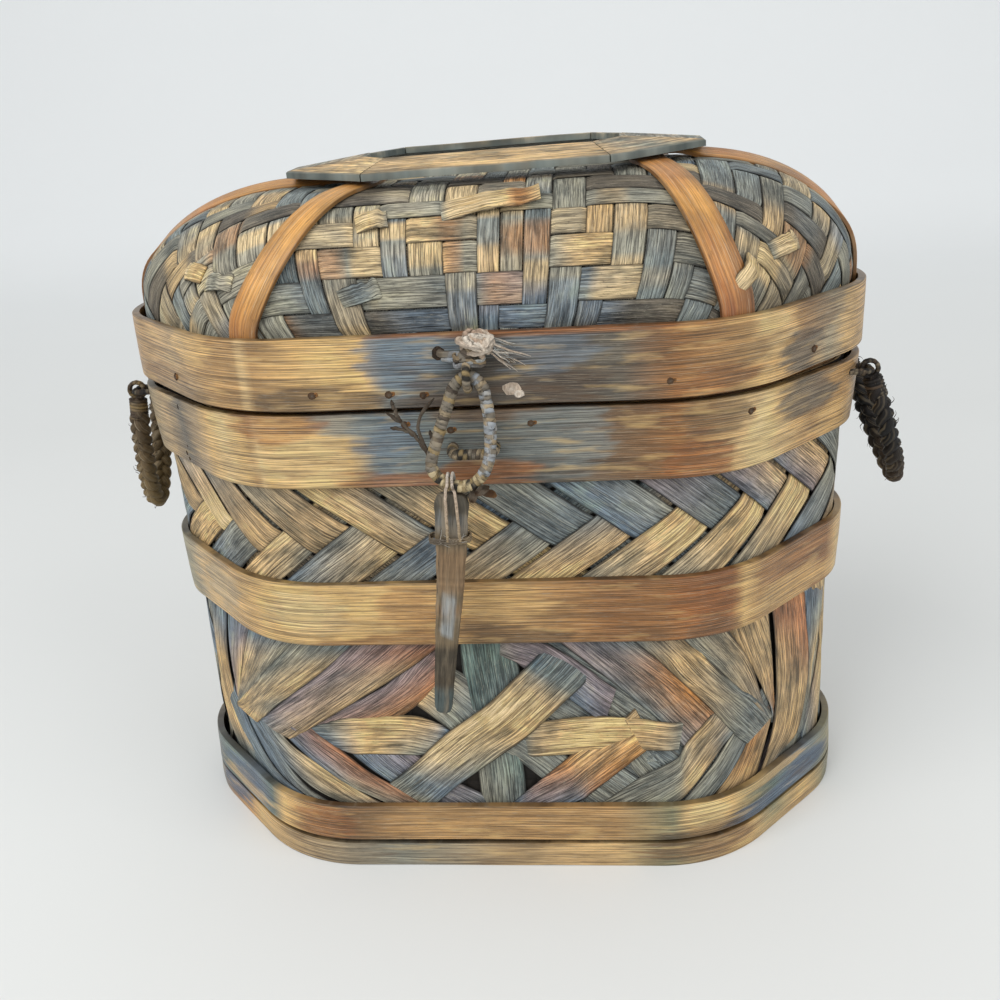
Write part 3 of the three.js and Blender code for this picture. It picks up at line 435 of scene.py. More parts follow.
# finishes
def fibrous(finish, along, across, number, tint, length, pitch, depth, lift, blotchy=0.8):
    # fibres so long and so far apart, dark and pale, with thin cracks and a little dust,
    # over blotches where smoke or sun has been. Gives the colour and a height for the bump
    bend = finish.grain((along * 0.04, across * 0.2, number), detail=2.0)
    blotch = finish.grain((along * 0.06, across * 0.13, number * 1.9 + 5.0), roughness=0.6)
    smoked = finish.mix(1.0, tint, (0.36, 0.41, 0.46, 1), "MULTIPLY")
    tint = finish.toward(tint, smoked, blotch, 0.5, 0.34, blotchy)
    sunned = finish.mix(1.0, tint, (1.4, 1.36, 1.22, 1), "MULTIPLY")
    tint = finish.toward(tint, sunned, blotch, 0.52, 0.68, blotchy)
    across = across / pitch + bend * 1.8
    along = along / length
    fine = finish.grain((along, across, number), roughness=0.62)
    thin = finish.grain((along * 1.7, across * 1.5, number + 7.0), detail=2.0, roughness=0.6)
    vein = finish.grain((along * 0.6, across * 0.6, number + 3.0), detail=2.0, roughness=0.5)
    dust = finish.grain((along * 9.0, across * 0.8, number), roughness=0.7)
    dark = finish.mix(depth, tint, "#0e0c09")
    light = finish.mix(1.0, tint, (lift, lift * 0.99, lift * 0.97, 1), "MULTIPLY")
    light = finish.mix(1.0, light, "#f7dcab", "DARKEN")
    colour = finish.toward(dark, light, fine, 0.4, 0.6)
    colour = finish.toward(colour, finish.mix(0.3, light, "#f5e8c8"), thin, 0.58, 0.66, 0.55)
    crack = finish.between(finish.maths("ABSOLUTE", vein - 0.5), 0.055, 0.015)
    gap = finish.between(thin, 0.41, 0.33)
    colour = finish.mix((crack * 0.75 + gap * 0.7).clamped() * (depth + 0.15), colour, "#17120c")
    colour = finish.toward(colour, "#a9a594", dust, 0.56, 0.72, 0.3)
    colour = finish.toward(colour, "#1b1711", dust, 0.42, 0.3, 0.4)
    return colour, fine + thin * 0.6 - crack * 0.2


def plaitFinish(name, length, pitch, depth, lift):
    finish = Finish(name)
    *reads, edge = finish.reads()
    colour, height = fibrous(finish, *reads, length, pitch, depth, lift)
    # the strips' edges and undersides (edge 1) are mixed towards near black: painted shade in the
    # gaps between strips
    return finish.surface(finish.mix(edge * 0.92, colour, "#100d09"), 0.6, 0.35,
                          height, 0.0005, 0.8)


def hoopFinish(name):
    finish = Finish(name)
    along, across, number, tint, edge = finish.reads()
    colour, height = fibrous(finish, along, across, number, tint, 48.0, 0.44, 0.44, 1.32, 0.3)
    broad = finish.grain((along * 0.05, across * 0.3, number * 1.3))
    colour = finish.toward(colour, "#e9c583", broad, 0.56, 0.72, 0.35)
    colour = finish.toward(colour, "#5a3f24", broad, 0.44, 0.28, 0.45)
    # the band's edges and its back (edge 1) are darkened: painted shade where it meets what lies
    # under it
    return finish.surface(finish.mix(edge * 0.6, colour, "#2a1f14"), 0.36, 0.45,
                          height, 0.0004, 0.7)


plaitMaterial = plaitFinish("burnt_plait", 17.0, 0.48, 0.5, 1.66)
matMaterial = plaitFinish("weathered_mat", 12.0, 0.46, 0.47, 1.62)
hoopMaterial = hoopFinish("smoked_hoop")


# hoops
def colourAlong(keys, s):
    # keys: (s, shade letter) round the plan, blended in between
    places = np.array([k[0] for k in keys], float)
    colours = np.array([shades[k[1]] for k in keys])
    wrapped = np.mod(s - places[0], planLength) + places[0]
    places = np.append(places, places[0] + planLength)
    colours = np.vstack([colours, colours[:1]])
    return np.stack([np.interp(wrapped, places, colours[:, c]) for c in range(3)], axis=-1)


hoopThickness = 2.6
hoopShares = np.array([0.0, 0.014, *np.linspace(0.05, 0.95, 24), 0.986, 1.0, 1.0, 0.0])


def makeHoop(name, body, bottom, top, seed, keys, patches, bottomRise=0.0, topDip=0.0):
    # an open band whose ends meet at the back
    skin = Skin(name)
    s = np.linspace(-planLength / 2, planLength / 2, int(planLength / 1.5))
    endwise = (np.abs(planAt(s)[0]) / box["endReach"]) ** 4
    wave = np.array([rough(a * 0.03, seed) for a in s]) * 0.5
    low = np.maximum(bottom + bottomRise * endwise + wave * 0.6, 0)
    high = top - topDip * endwise - wave * 0.5
    rows = []
    for k, share in enumerate(hoopShares):
        depth = hoopThickness
        if k < len(hoopShares) - 2:
            ripple = np.array([rough(a * 0.02, share * 1.5, seed + 5) for a in s]) * 0.25
            depth = ripple - 0.12 * (1 - (2 * share - 1) ** 2) + (0.4 if share in (0, 1) else 0)
        rows.append(onWall(s, lerp(low, high, share), np.maximum(depth, -0.2)))
    points = np.stack(rows, axis=1)
    grain = grainOf(points, s[:, None], hoopShares * (high - low)[:, None], seed * 10 + 3)
    tint = np.repeat(colourAlong(keys, s)[:, None, :], len(hoopShares), axis=1)
    for at, reach, share, spread, letter, strength in patches:
        # a burnt or dyed patch, or for the two dark ones at the foot painted shade, whose ends run
        # out in streaks
        away = np.mod(s - at + planLength / 2, planLength) - planLength / 2
        near = np.abs(away) < reach * 1.8
        for k, level in enumerate(hoopShares):
            streaks = np.array([rough(a * 0.03, level * 9, seed + at) * 0.8
                                + rough(a * 0.07, level * 40, seed + at) * 0.7 for a in s[near]])
            fade = (away[near] / reach) ** 2 + ((level - share) / spread) ** 2 + streaks
            mask = smooth((1.15 - fade) * 2)[:, None] * strength
            tint[near, k] = lerp(tint[near, k], shades[letter], mask)
    # edge 1 on the rims and the back face, which the finish darkens as painted shade
    skin.grid(points, grain, tint, np.array([1, 0.25] + [0] * 24 + [0.25, 1, 1, 1.0]))
    skin.make(hoopMaterial, body, [name], "foot_bamboo" if "foot" in name else "hoop_bamboo")


# keys: (place along the wall, shade); patches: (place, reach, share of the height, spread,
# shade, strength)
hoops = {
    "lid_rim_hoop": dict(
        body="lid", bottom=182, top=205.4, bottomRise=1.2, seed=1.0,
        # the narrow Y at -74.5 between two T is a painted highlight, where the bend of the
        # front-left corner catches the light
        keys=((-150, "T"), (-112, "t"), (-84, "T"), (-77, "T"), (-74.5, "Y"), (-71, "T"),
              (-48, "G"), (-34, "G"), (-28, "S"), (-8, "S"), (20, "K"), (45, "K"), (62, "B"),
              (74, "T"), (92, "G"), (112, "T"), (128, "E"), (150, "T"), (200, "T"),
              (300, "B"), (380, "T"), (460, "N")),
        patches=((-20, 16, 0.7, 0.5, "b", 0.75), (12, 34, 0.25, 0.4, "D", 0.6),
                 (22, 16, 0.8, 0.4, "b", 0.5), (20, 52, 1.0, 0.07, "O", 0.9),
                 (-50, 26, 0.12, 0.2, "D", 0.75), (-10, 20, 0.04, 0.16, "D", 0.7),
                 (-125, 26, 0.15, 0.3, "N", 0.45), (-98, 12, 0.8, 0.3, "G", 0.6),
                 (76, 14, 0.15, 0.3, "O", 0.7), (112, 13, 0.3, 0.3, "K", 0.85),
                 (120, 12, 0.75, 0.35, "N", 0.5), (96, 12, 0.7, 0.3, "Y", 0.5),
                 (146, 12, 0.5, 0.6, "G", 0.5), (76, 18, 0.5, 0.6, "B", 0.45))),
    "body_rim_hoop": dict(
        body="basket", bottom=154.7, top=180.6, topDip=1.8, seed=2.0,
        # the narrow Y at -74 between T and G is a painted highlight on the bend of the front-left
        # corner
        keys=((-150, "E"), (-132, "t"), (-118, "K"), (-104, "t"), (-96, "G"), (-88, "Y"),
              (-80, "G"), (-76, "T"), (-74, "Y"), (-71, "G"), (-52, "G"), (-42, "G"), (-34, "S"),
              (-10, "S"), (25, "K"), (50, "N"), (62, "B"), (74, "T"), (92, "Y"), (102, "G"),
              (122, "T"), (150, "T"), (220, "G"), (300, "B"), (380, "T"), (460, "G")),
        patches=((-30, 12, 0.7, 0.45, "b", 0.7), (-44, 14, 0.9, 0.2, "S", 0.8),
                 (-66, 16, 0.85, 0.25, "O", 0.6), (-56, 20, 0.35, 0.35, "Y", 0.6),
                 (-22, 26, 0.04, 0.2, "O", 0.75), (2, 20, 0.14, 0.2, "O", 0.85),
                 (5, 22, 0.95, 0.1, "N", 0.7), (25, 18, 0.6, 0.5, "S", 0.6),
                 (70, 12, 0.2, 0.4, "O", 0.8), (76, 12, 0.75, 0.3, "D", 0.5),
                 (118, 18, 0.72, 0.3, "K", 0.8), (98, 14, 0.3, 0.3, "Y", 0.5),
                 (140, 16, 0.2, 0.3, "G", 0.5))),
    "waist_hoop": dict(
        body="basket", bottom=94.8, top=119.1, seed=3.0,
        keys=((-150, "V"), (-136, "E"), (-118, "t"), (-100, "T"), (-84, "G"), (-60, "G"),
              (-30, "G"), (-14, "T"), (10, "T"), (40, "B"), (60, "B"), (74, "O"), (84, "O"),
              (90, "G"), (98, "T"), (124, "B"), (140, "B"), (150, "G"), (220, "T"),
              (300, "B"), (380, "T"), (460, "G")),
        patches=((-112, 24, 0.5, 0.7, "G", 0.5), (-66, 18, 0.55, 0.35, "Y", 0.8),
                 (-112, 14, 0.6, 0.4, "E", 0.6),
                 (-26, 14, 0.6, 0.4, "O", 0.4), (6, 20, 0.1, 0.25, "D", 0.6),
                 (-40, 26, 0.06, 0.2, "B", 0.7), (-2, 22, 0.7, 0.3, "G", 0.5),
                 (74, 14, 0.65, 0.5, "O", 0.6), (78, 10, 0.1, 0.25, "N", 0.6),
                 (112, 16, 0.75, 0.25, "B", 0.6), (120, 24, 0.25, 0.3, "G", 0.6))),
    "foot_band": dict(
        body="basket", bottom=12, top=26.5, seed=4.0,
        keys=((-150, "s"), (-132, "u"), (-112, "b"), (-98, "u"), (-90, "G"), (-78, "T"),
              (-62, "N"), (-30, "T"), (0, "T"), (40, "T"), (62, "V"), (70, "G"), (84, "G"),
              (98, "V"), (110, "u"), (130, "b"), (150, "V"), (220, "T"), (300, "B"),
              (380, "T"), (460, "G")),
        patches=((-120, 22, 0.25, 0.25, "y", 0.6), (-118, 22, 0.6, 0.25, "C", 0.8),
                 (76, 10, 0.6, 0.4, "Y", 0.7), (104, 26, 0.16, 0.28, "C", 0.9),
                 (132, 18, 0.42, 0.3, "C", 0.9), (112, 20, 0.9, 0.2, "G", 0.6),
                 # the dark D patch at 72 on the band's bottom is painted shade, above the foot ring
                 (72, 20, 0.1, 0.2, "D", 0.7),
                 (-70, 14, 0.4, 0.6, "O", 0.6))),
    "foot_ring": dict(
        body="basket", bottom=0, top=10.4, seed=5.0,
        keys=((-150, "s"), (-128, "o"), (-110, "G"), (-84, "t"), (-40, "g"), (0, "t"),
              (40, "y"), (62, "V"), (76, "y"), (96, "G"), (110, "V"), (130, "G"), (150, "V"),
              (220, "t"), (300, "N"), (380, "t"), (460, "g")),
        # the dark N patch at 74 on the ring's upper part is painted shade under the foot band
        patches=((-132, 14, 0.7, 0.5, "C", 0.85), (74, 24, 0.7, 0.6, "N", 0.75),
                 (120, 22, 0.15, 0.3, "y", 0.6))),
}
for name, options in hoops.items():
    makeHoop(name, **options)
print("hoops done")

# woven wall
plait = {
    "outerInset": 4.75, "levelStep": 0.68, "thickness": 0.5, "frontThickness": 0.6,
    # how far the traced strips go on under their neighbours, and between which heights
    "runOn": 7, "frontHeights": (13.5, 112),
    # where the plait is even: slope, middle height, bottom and top, inset under and over
    "upper": (math.tan(math.radians(36.8)), 137.0, 112, 162, 4.6, 3.1),
    "lower": (math.tan(math.radians(66)), 60.0, 16, 104, 4.9, 3.6),
}


def latticeStrips(skin, zone, lines, others, rising, tints):
    # lines, others: where each strip's edge crosses the middle height; rising: leans right
    slope, middle, bottom, top, under, over = plait[zone]
    lean = -slope / 2 if rising else slope / 2
    lineAt = lambda a: np.interp(a, range(len(lines)), lines)
    otherAt = lambda b: np.interp(b, range(len(others)), others)
    for i in range(len(lines) - 1):
        centre = lineAt(i + 0.5)
        b = np.arange(-1, len(others), 0.12)
        z = middle + (centre - otherAt(b)) * lean
        b = b[(z > bottom) & (z < top) & (b >= 0) & (b <= len(others) - 1)]
        if len(b) < 3:
            continue
        sides = []
        for line in (lineAt(i + 0.035), lineAt(i + 0.965)):
            other = otherAt(b)
            sides.append(np.stack([(line + other) / 2, middle + (line - other) * lean], axis=1))
        edge = np.round(b)
        before, after = (np.where(centre > otherAt(edge + k), 1.0, 0.0) for k in (-0.5, 0.5))
        inset = lerp(under, over, lerp(before, after, smooth((b - edge) / 0.44 + 0.5)))
        inset = inset + 0.12 * np.array([rough(v * 0.8, i * 3.1) for v in b])
        letters = tints[i % len(tints)].split("/")
        addStrip(skin, *sides, inset, tintRows(letters[0], len(b)),
                 tintRows(letters[-1], len(b)), plait["thickness"])


def ringOfEdges(front, count):
    # the given edges in front and even ones round the back, closed
    back = count - len(front)
    gap = (front[0] + planLength - front[-1]) / (back + 1)
    return list(front) + [front[-1] + gap * (k + 1) for k in range(back + 1)]


backEdges = ringOfEdges(
    (-148, -123, -99.6, -71.7, -42.6, -16.6, 11.8, 41.6, 71.4, 100.1, 126.0, 153), 24)
slashEdges = ringOfEdges(
    (-155, -128, -102, -74, -50.8, -19, 4, 30, 54, 80.3, 108.4, 139.8, 165), 24)


def wrapEdges(edges):
    # the ring of edges three times over, so that strips cross the seam
    turns = [e + planLength * k for k in (-1, 0, 1) for e in edges[:-1]]
    return turns + [edges[0] + 2 * planLength]


upper = Skin("upper_plait")
backTints = ("gts", "bys", "sts", "gtg", "yyt/ysg", "gyt/gyy", "gsg", "bbs/bgs", "psb/pst",
             "pbs/pys", "bpg/tyg", "sgb", "gst", "bsg", "tgs", "sbs", "gyt", "pgs", "gts",
             "bys", "sts", "gtg", "syt", "gsg")
slashTints = ("gbs", "tys", "bgs", "tyt/ygs", "bgs/gys", "gbs", "yss/ygs", "yss/yts",
              "gyg", "gyb/gys", "gys", "bgs", "tsg", "gbs", "tys", "bgs", "tyt", "bgs",
              "gbs", "yts", "gyt", "gyg", "gyb", "gys")
latticeStrips(upper, "upper", backEdges, wrapEdges(slashEdges), False, backTints)
latticeStrips(upper, "upper", slashEdges, wrapEdges(backEdges), True, slashTints)
upper.make(plaitMaterial, "basket", ["body_weave"], "wall_plait")
print("upper plait done")

# front strips of the lower wall, each from end to end: level, then sections of
# (s and z of one edge, s and z of the other edge, shade at each edge)
frontStrips = {
    "edgeA": (1, ((-147.9, 90.3, -125.9, 91.8, "gg"), (-153.3, 73.8, -131.3, 75.3, "gb"),
        (-154.9, 62.4, -132.9, 63.9, "yt"), (-153.1, 50.9, -131.1, 52.4, "yt"),
        (-148.5, 40.5, -126.5, 42, "ty"), (-142.5, 30.8, -120.5, 32.3, "gs"),
        (-135.7, 24.6, -113.7, 26.1, "gs"))),
    "edgeB": (1, ((-125.9, 89.2, -106.6, 88.9, "ss"), (-129.2, 77.5, -109, 85.6, "bp"),
        (-130.1, 66.4, -117.9, 71.7, "py"), (-129, 53.1, -125.8, 54.5, "py"))),
    "slashC": (2, ((-105.8, 91.3, -74.5, 93.9, "bs"), (-111.3, 82.1, -81.5, 88.1, "bg"),
        (-119.7, 65.6, -99.7, 72.8, "yg"), (-128.6, 49.1, -122.5, 51.4, "sg"))),
    "slashD": (2.1, ((-76.7, 93.6, -50.1, 93.7, "gb"), (-89.4, 82.3, -60.7, 84.9, "gs"),
        (-111.8, 63.8, -79.9, 71, "gy"), (-127.2, 50, -94.4, 60.3, "yg"),
        (-129.3, 47, -110.8, 47.2, "ty"))),
    "slashE": (2.2, ((-51.7, 93.2, -20.8, 91.5, "gp"), (-62.8, 83.6, -29.8, 84.5, "pr"),
        (-78.1, 72.6, -45.8, 73.9, "pt"), (-94.5, 59.9, -65.8, 61.9, "pt"),
        (-106.7, 50.9, -84.5, 50.1, "bt"))),
    "slashF": (1.3, ((-29.7, 86.3, -19, 81.2, "pr"), (-41.3, 76.2, -22.9, 75, "pr"),
        (-53.9, 69, -31.4, 66.6, "po"), (-65.6, 63.1, -41.4, 61, "po"),
        (-81.5, 52.8, -61.3, 57.1, "pp"))),
    "backG1": (0, ((-126.4, 54.5, -121.4, 53.4, "ss"), (-120.3, 39.5, -107.8, 47, "bs"),
        (-107.2, 30.8, -93.7, 38.4, "bs"), (-94.2, 24.6, -81.6, 29, "bg"),
        (-83.8, 19.7, -71, 24.7, "sb"))),
    "backG2": (1, ((-138.5, 40.5, -128, 51, "ss"), (-129.6, 26.3, -117.7, 39.4, "sb"),
        (-117.2, 21.4, -105.8, 31.6, "bs"), (-94.6, 21.7, -86.3, 26.2, "sb"),
        (-83.7, 20.3, -79.9, 24.1, "ss"))),
    "backH": (1, ((-118.4, 45.9, -99.7, 57.3, "bs"), (-94.4, 38.1, -88.4, 47.6, "bg"),
        (-79, 30.4, -68.3, 39.7, "gy"), (-65.5, 25.5, -50.6, 27.2, "gb"))),
    "backI": (1.9, ((-88.7, 50.8, -74.5, 58.8, "bb"), (-70.2, 40.1, -59.9, 48.5, "br"),
        (-58.1, 32.6, -48.4, 37.8, "gr"), (-43.1, 24, -26.8, 23.6, "pt"))),
    "flatJ": (1.6, ((-72.4, 58.5, -67.3, 51.5, "bb"), (-58, 62.9, -56.3, 47.2, "gb"),
        (-46.9, 63.6, -48.6, 46.9, "yy"), (-31.7, 63.7, -37.6, 46.7, "yg"),
        (-22.3, 60, -28.8, 46.4, "bg"), (-18.2, 56.8, -22.3, 46.4, "bs"))),
    "backK": (1, ((-59.6, 50.8, -35, 50.7, "bb"), (-50.4, 40.4, -29, 44.2, "bp"),
        (-39, 31.2, -19.8, 35.7, "bp"), (-26.3, 23.3, -8.7, 29.1, "ps"),
        (-19.8, 20.7, -6.2, 24.6, "ps"))),
    "backN": (1, ((-33.9, 70.2, -17.1, 83.8, "ys"), (-28.2, 65.7, -9.8, 78.6, "yg"),
        (-19.8, 57.5, -2.6, 70.4, "gs"), (-15.4, 51.8, -0.7, 62.9, "gs"),
        (0.6, 47.2, 11.2, 56, "gs"), (14, 35.6, 24.1, 45.2, "sg"), (20.3, 28.4, 31.4, 37.5, "sg"),
        (32, 18.5, 43, 27, "sg"))),
    "uprightL": (1, ((-12.8, 94.3, 6.6, 95.1, "uu"), (-12.7, 86, 7.4, 85.8, "uu"),
        (-12.1, 75.3, 8.6, 77.8, "us"), (-11, 64.9, 9.2, 67.4, "ss"))),
    "uprightO": (1, ((-9.8, 45.4, 6.5, 47.8, "gs"), (-9.6, 37.6, 7.5, 38.9, "gu"),
        (-9.3, 25.9, 7.8, 27.1, "gs"), (-9.2, 19.4, 7.8, 19.4, "su"))),
    "slashM": (3, ((12.1, 85.7, 28.2, 74.1, "ss"), (7.2, 80.6, 23, 68.8, "sg"),
        (-5.2, 67.9, 10.7, 56, "Yy"), (-19.8, 56.9, -1.7, 46, "Yg"),
        (-32.1, 44.5, -16.6, 34.5, "gb"), (-38.3, 39.1, -23.7, 27.9, "gg"))),
    "backQ": (2, ((5.9, 85.8, 9.4, 93.9, "gp"), (10.4, 82.1, 17.5, 92.6, "pp"),
        (23.4, 71.4, 28.6, 85.4, "bp"), (32.1, 63.8, 36.6, 78.2, "pp"))),
    "slashP": (2, ((43, 61, 50, 46, "ty"), (27.4, 48.9, 33.4, 31, "yo"),
        (20.8, 42.6, 26.7, 25.8, "ob"), (8.4, 31.1, 9, 20.7, "bp"), (2.7, 25.8, 3.4, 18.1, "bp"))),
    "backR6": (2, ((63.6, 102.7, 87.6, 96.1, "gg"), (65, 94.7, 87, 92.3, "gg"),
        (79.2, 81, 99.2, 76.4, "gt"), (94.9, 65.2, 107.9, 56.5, "ts"),
        (102.9, 56.9, 111.2, 48.9, "ss"))),
    "backR7": (2, ((47, 94, 68.7, 94.3, "ps"), (56, 86, 75, 87, "st"), (65.6, 76.4, 79.2, 81, "ty"),
        (76.6, 65.3, 94.9, 66.5, "tg"), (89.3, 50, 103.9, 59.7, "gs"),
        (97.3, 42, 115.3, 46.9, "sg"))),
    "uprightR9": (2.2, ((81.6, 98.1, 111.3, 95.3, "tt"), (87.7, 91.2, 110.5, 90.6, "tt"),
        (102.5, 70.1, 113.3, 71.7, "tt"), (111, 54.4, 115.1, 53.1, "so"),
        (113.2, 49.9, 114.8, 49.1, "ss"))),
    "uprightR10": (3, ((110.9, 95.5, 133.8, 87.6, "oo"), (113.2, 83.3, 134.8, 79.5, "rr"),
        (114.8, 68.4, 137.5, 63.7, "tr"), (115.4, 54.9, 137.5, 50, "tt"),
        (113.5, 40.9, 131.9, 31.7, "tt"), (109.4, 30.6, 123.5, 28.2, "ts"),
        (103.8, 22.6, 116.2, 25.6, "ps"))),
    "uprightR11": (2, ((133.4, 87.8, 152.5, 83.5, "bp"), (136.1, 72.3, 149.3, 72.5, "bg"),
        (138.3, 57.9, 142.1, 57.7, "gy"), (136.5, 44.9, 140.8, 45.8, "gg"),
        (132.9, 32.6, 137.3, 33.2, "ss"))),
    "uprightR12": (1, ((152, 87.4, 168, 85.4, "bb"), (146.4, 68.2, 162.4, 66.2, "gy"),
        (142.9, 56, 158.9, 54, "gy"), (140.2, 43.2, 156.2, 41.2, "gg"),
        (137.5, 30.3, 153.5, 28.3, "bb"))),
    "slashR13": (1.6, ((76.7, 58.3, 90.1, 49.4, "sg"), (68.8, 51.3, 82.5, 43.2, "ys"),
        (65.7, 46.5, 71.5, 31, "gy"), (63.8, 44, 65.7, 25.8, "gg"), (52, 38, 56, 19.5, "gg"),
        (38, 27, 44, 15, "gs"))),
    "slashR14": (1.3, ((104.8, 59.9, 111.1, 51, "ss"), (90.1, 49.4, 100.2, 43.4, "gs"),
        (79.7, 38.6, 88.8, 31.7, "gs"), (68.9, 27.4, 76.9, 22.5, "ss"))),
    "slashR15": (1.2, ((107.1, 50.9, 115.3, 46.9, "sb"), (97.3, 42, 109.7, 33.2, "ot"),
        (87.2, 30.9, 103.8, 22.6, "tt"), (78.3, 22.8, 93.8, 19, "to"))),
    "backR16": (0, ((113.7, 36.7, 137.5, 30.3, "so"), (107.9, 27.2, 128.8, 21.9, "ps"),
        (95.7, 22.2, 116, 18.8, "ss"))),
    "backR17": (1, ((144.6, 45.5, 160, 29.6, "bb"), (137.1, 36.2, 153, 21.5, "sb"),
        (124.5, 28.3, 143, 20, "sg"), (116.1, 22.9, 133.2, 22.4, "so"))),
    "hiddenSlope": (1, ((22, 93, 46, 96, "ps"), (32, 84, 54, 88, "ps"), (45, 72, 64, 79, "so"),
                        (56, 61, 73, 69.5, "so"), (65, 51, 82, 60, "ps"))),
    "hiddenFlat": (2, ((15, 61, 15, 46, "gg"), (32, 63, 33, 47, "yy"), (48, 62, 49, 48, "yt"),
                       (60, 60, 58, 48, "gg"))),
    "hiddenUnder": (0, ((20, 96, 8, 84, "ss"), (44, 78, 34, 66, "sg"), (64, 62, 54, 50, "gs"),
                        (84, 46, 74, 34, "ss"))),
    "hiddenRise": (0, ((6, 66, 18, 78, "sg"), (28, 50, 40, 62, "gs"), (50, 34, 62, 46, "ss"),
                       (66, 22, 78, 32, "ss"))),
    "hiddenBack": (0, ((34, 55, 52, 57, "bg"), (44, 42, 58, 45, "gs"), (56, 27, 68, 32, "ss"))),
    "hiddenFoot": (1, ((30, 36, 38, 45, "sg"), (44, 24, 54, 32, "gs"), (52, 17, 62, 23, "ss"))),
}


def stretched(sections):
    # carries a strip on past its traced ends, both edges the way that its middle goes
    rows = np.array([s[:4] for s in sections], float)

    def beyond(end, before):
        away = (end - before).reshape(2, 2).mean(axis=0)
        return end + np.tile(away / max(np.linalg.norm(away), 1e-6) * plait["runOn"], 2)

    return np.vstack([beyond(rows[0], rows[1]), rows, beyond(rows[-1], rows[-2])])


# the strips whose last end shows where it is cut
cutStrips = ("slashC", "slashD", "slashE", "backR7")
lower = Skin("lower_plait_front")
for name, (level, sections) in frontStrips.items():
    rows = stretched(sections)[:-1 if name in cutStrips else None]
    length = distances(rows[:, :2])[-1]
    count = max(8, int(length / 2.2))
    rows = through(rows, count)
    letters = [s[4] for s in sections]
    left = tintRows([c[0] for c in letters], count)
    right = tintRows([c[-1] for c in letters], count)
    run = np.linspace(0, length, count)
    ends = smooth((run if name in cutStrips else np.minimum(run, length - run)) / 9)
    inset = plait["outerInset"] - plait["levelStep"] * level + 0.75 * (1 - ends)
    inset = inset + 0.15 * np.array([rough(v * 0.05, len(name), level) for v in run])
    rows[:, 1::2] = np.clip(rows[:, 1::2], *plait["frontHeights"])
    addStrip(lower, rows[:, :2], rows[:, 2:], inset, left, right, plait["frontThickness"])
lower.make(plaitMaterial, "basket", ["body_weave"], "wall_plait")

side = Skin("lower_plait_sides")
sideTints = ("gbs/bgs", "tys/ygs", "bgs", "ggt", "byg/gys", "sgs", "gyt", "ptg", "gbs", "oty/tgy",
             "bgs", "sbb")
latticeStrips(side, "lower", np.arange(132, 560, 19.6), np.arange(60, 640, 20.4), False, sideTints)
latticeStrips(side, "lower", np.arange(128, 556, 20.4), np.arange(60, 640, 19.6), True,
              sideTints[3:] + sideTints[:3])
side.make(plaitMaterial, "basket", ["body_weave"], "wall_plait")
print("lower plait done")

# inner plies, floor and linings
lining = {
    # insets of the two faces of each layer
    "under": (5.2, 5.4), "layer": (5.45, 6.75), "top": 178.6, "plaitPitch": 8.5,
    "collar": 7.05, "collarTop": 187.0,
}


def liningFinish(name, light, dark, pitch=lining["plaitPitch"]):
    # plain weave seen from inside: squares of fibres that run one way and then the other
    finish = Finish(name)
    along, across = finish.split(finish.attribute("grain"))[:2]
    u, v = along / pitch, across / pitch
    rowU, rowV = finish.maths("FLOOR", u), finish.maths("FLOOR", v)
    inU, inV = finish.maths("FRACT", u), finish.maths("FRACT", v)
    cell = finish.maths("MODULO", rowU + rowV + 1000.0, 2.0)
    humpU, humpV = ((t * (1.0 - t)) * 4.0 for t in (inU, inV))
    fibres = finish.mix(cell, finish.grain((along * 0.06, across * 1.8, rowV)),
                        finish.grain((along * 1.8, across * 0.06, rowU)))
    patch = finish.grain((rowU, rowV, 3.0), 0.9, 1.0)
    colour = finish.mix(0.55, finish.toward(dark, light, patch, 0.35, 0.65), fibres, "OVERLAY")
    height = humpU * (1.0 - cell) + humpV * cell
    # dark where the weave's height dips and along the seams between strips: painted shade
    gap = finish.between(height, 0.35, 0.05)
    seam = finish.between(humpV * (1.0 - cell) + humpU * cell, 0.3, 0.0)
    colour = finish.mix((gap * 0.5 + seam * 0.8).clamped(), colour, "#16110c")
    return finish.surface(colour, 0.72, 0.3, height, 0.0008, 0.7)


liningMaterial = liningFinish("inner_plait", "#a98f66", "#6f5a3e")
# near-black plait put under the strips: painted shade seen through the gaps between them
shadeBackingMaterial = liningFinish("under_plait", "#1f1a15", "#110e0b", 6.0)


def planRing(inset, z, scale=1.0, count=226):
    x, y, nx, ny = planAt(np.arange(count) * planLength / count)
    inward = inset + hoopInset(z)
    return np.stack([(x - inward * nx) * scale, (y - inward * ny) * scale,
                     np.full(count, float(z))], axis=1)


def makeRings(rings, name, material, body, node, slot, laid="wall", letter="t"):
    # a closed sheet through rings of the plan. On the wall the last ring joins the first,
    # otherwise both are closed; laid says how its plaiting lies
    points = np.stack(rings, axis=0)
    rows, columns = points.shape[:2]
    steps = np.linalg.norm(np.diff(points, axis=0), axis=2).mean(axis=1)
    flat = np.zeros((rows, columns))
    if laid == "wall":
        grain = grainOf(points, np.arange(columns) * planLength / columns,
                        np.concatenate([[0], np.cumsum(steps)])[:, None], flat)
    else:
        stretch = np.ones((rows, 1))
        if laid == "dome":
            # over the dome from the crown, inside and outside, without gathering there
            inside = np.cumsum(steps[:rows // 2 - 1])
            outside = np.cumsum(steps[::-1][:rows // 2 - 1])[::-1]
            reach = np.hypot(points[:, :, 0], points[:, :, 1]).mean(axis=1)
            arc = np.concatenate([[0], inside, outside, [0]]) + reach[0]
            stretch = (arc / reach)[:, None]
        grain = grainOf(points, points[:, :, 0] * stretch, points[:, :, 1] * stretch, flat)
    skin = Skin(name)
    skin.grid(points, grain, shades[letter], 0.0, ring=laid == "wall")
    skin.make(material, body, [node], slot)


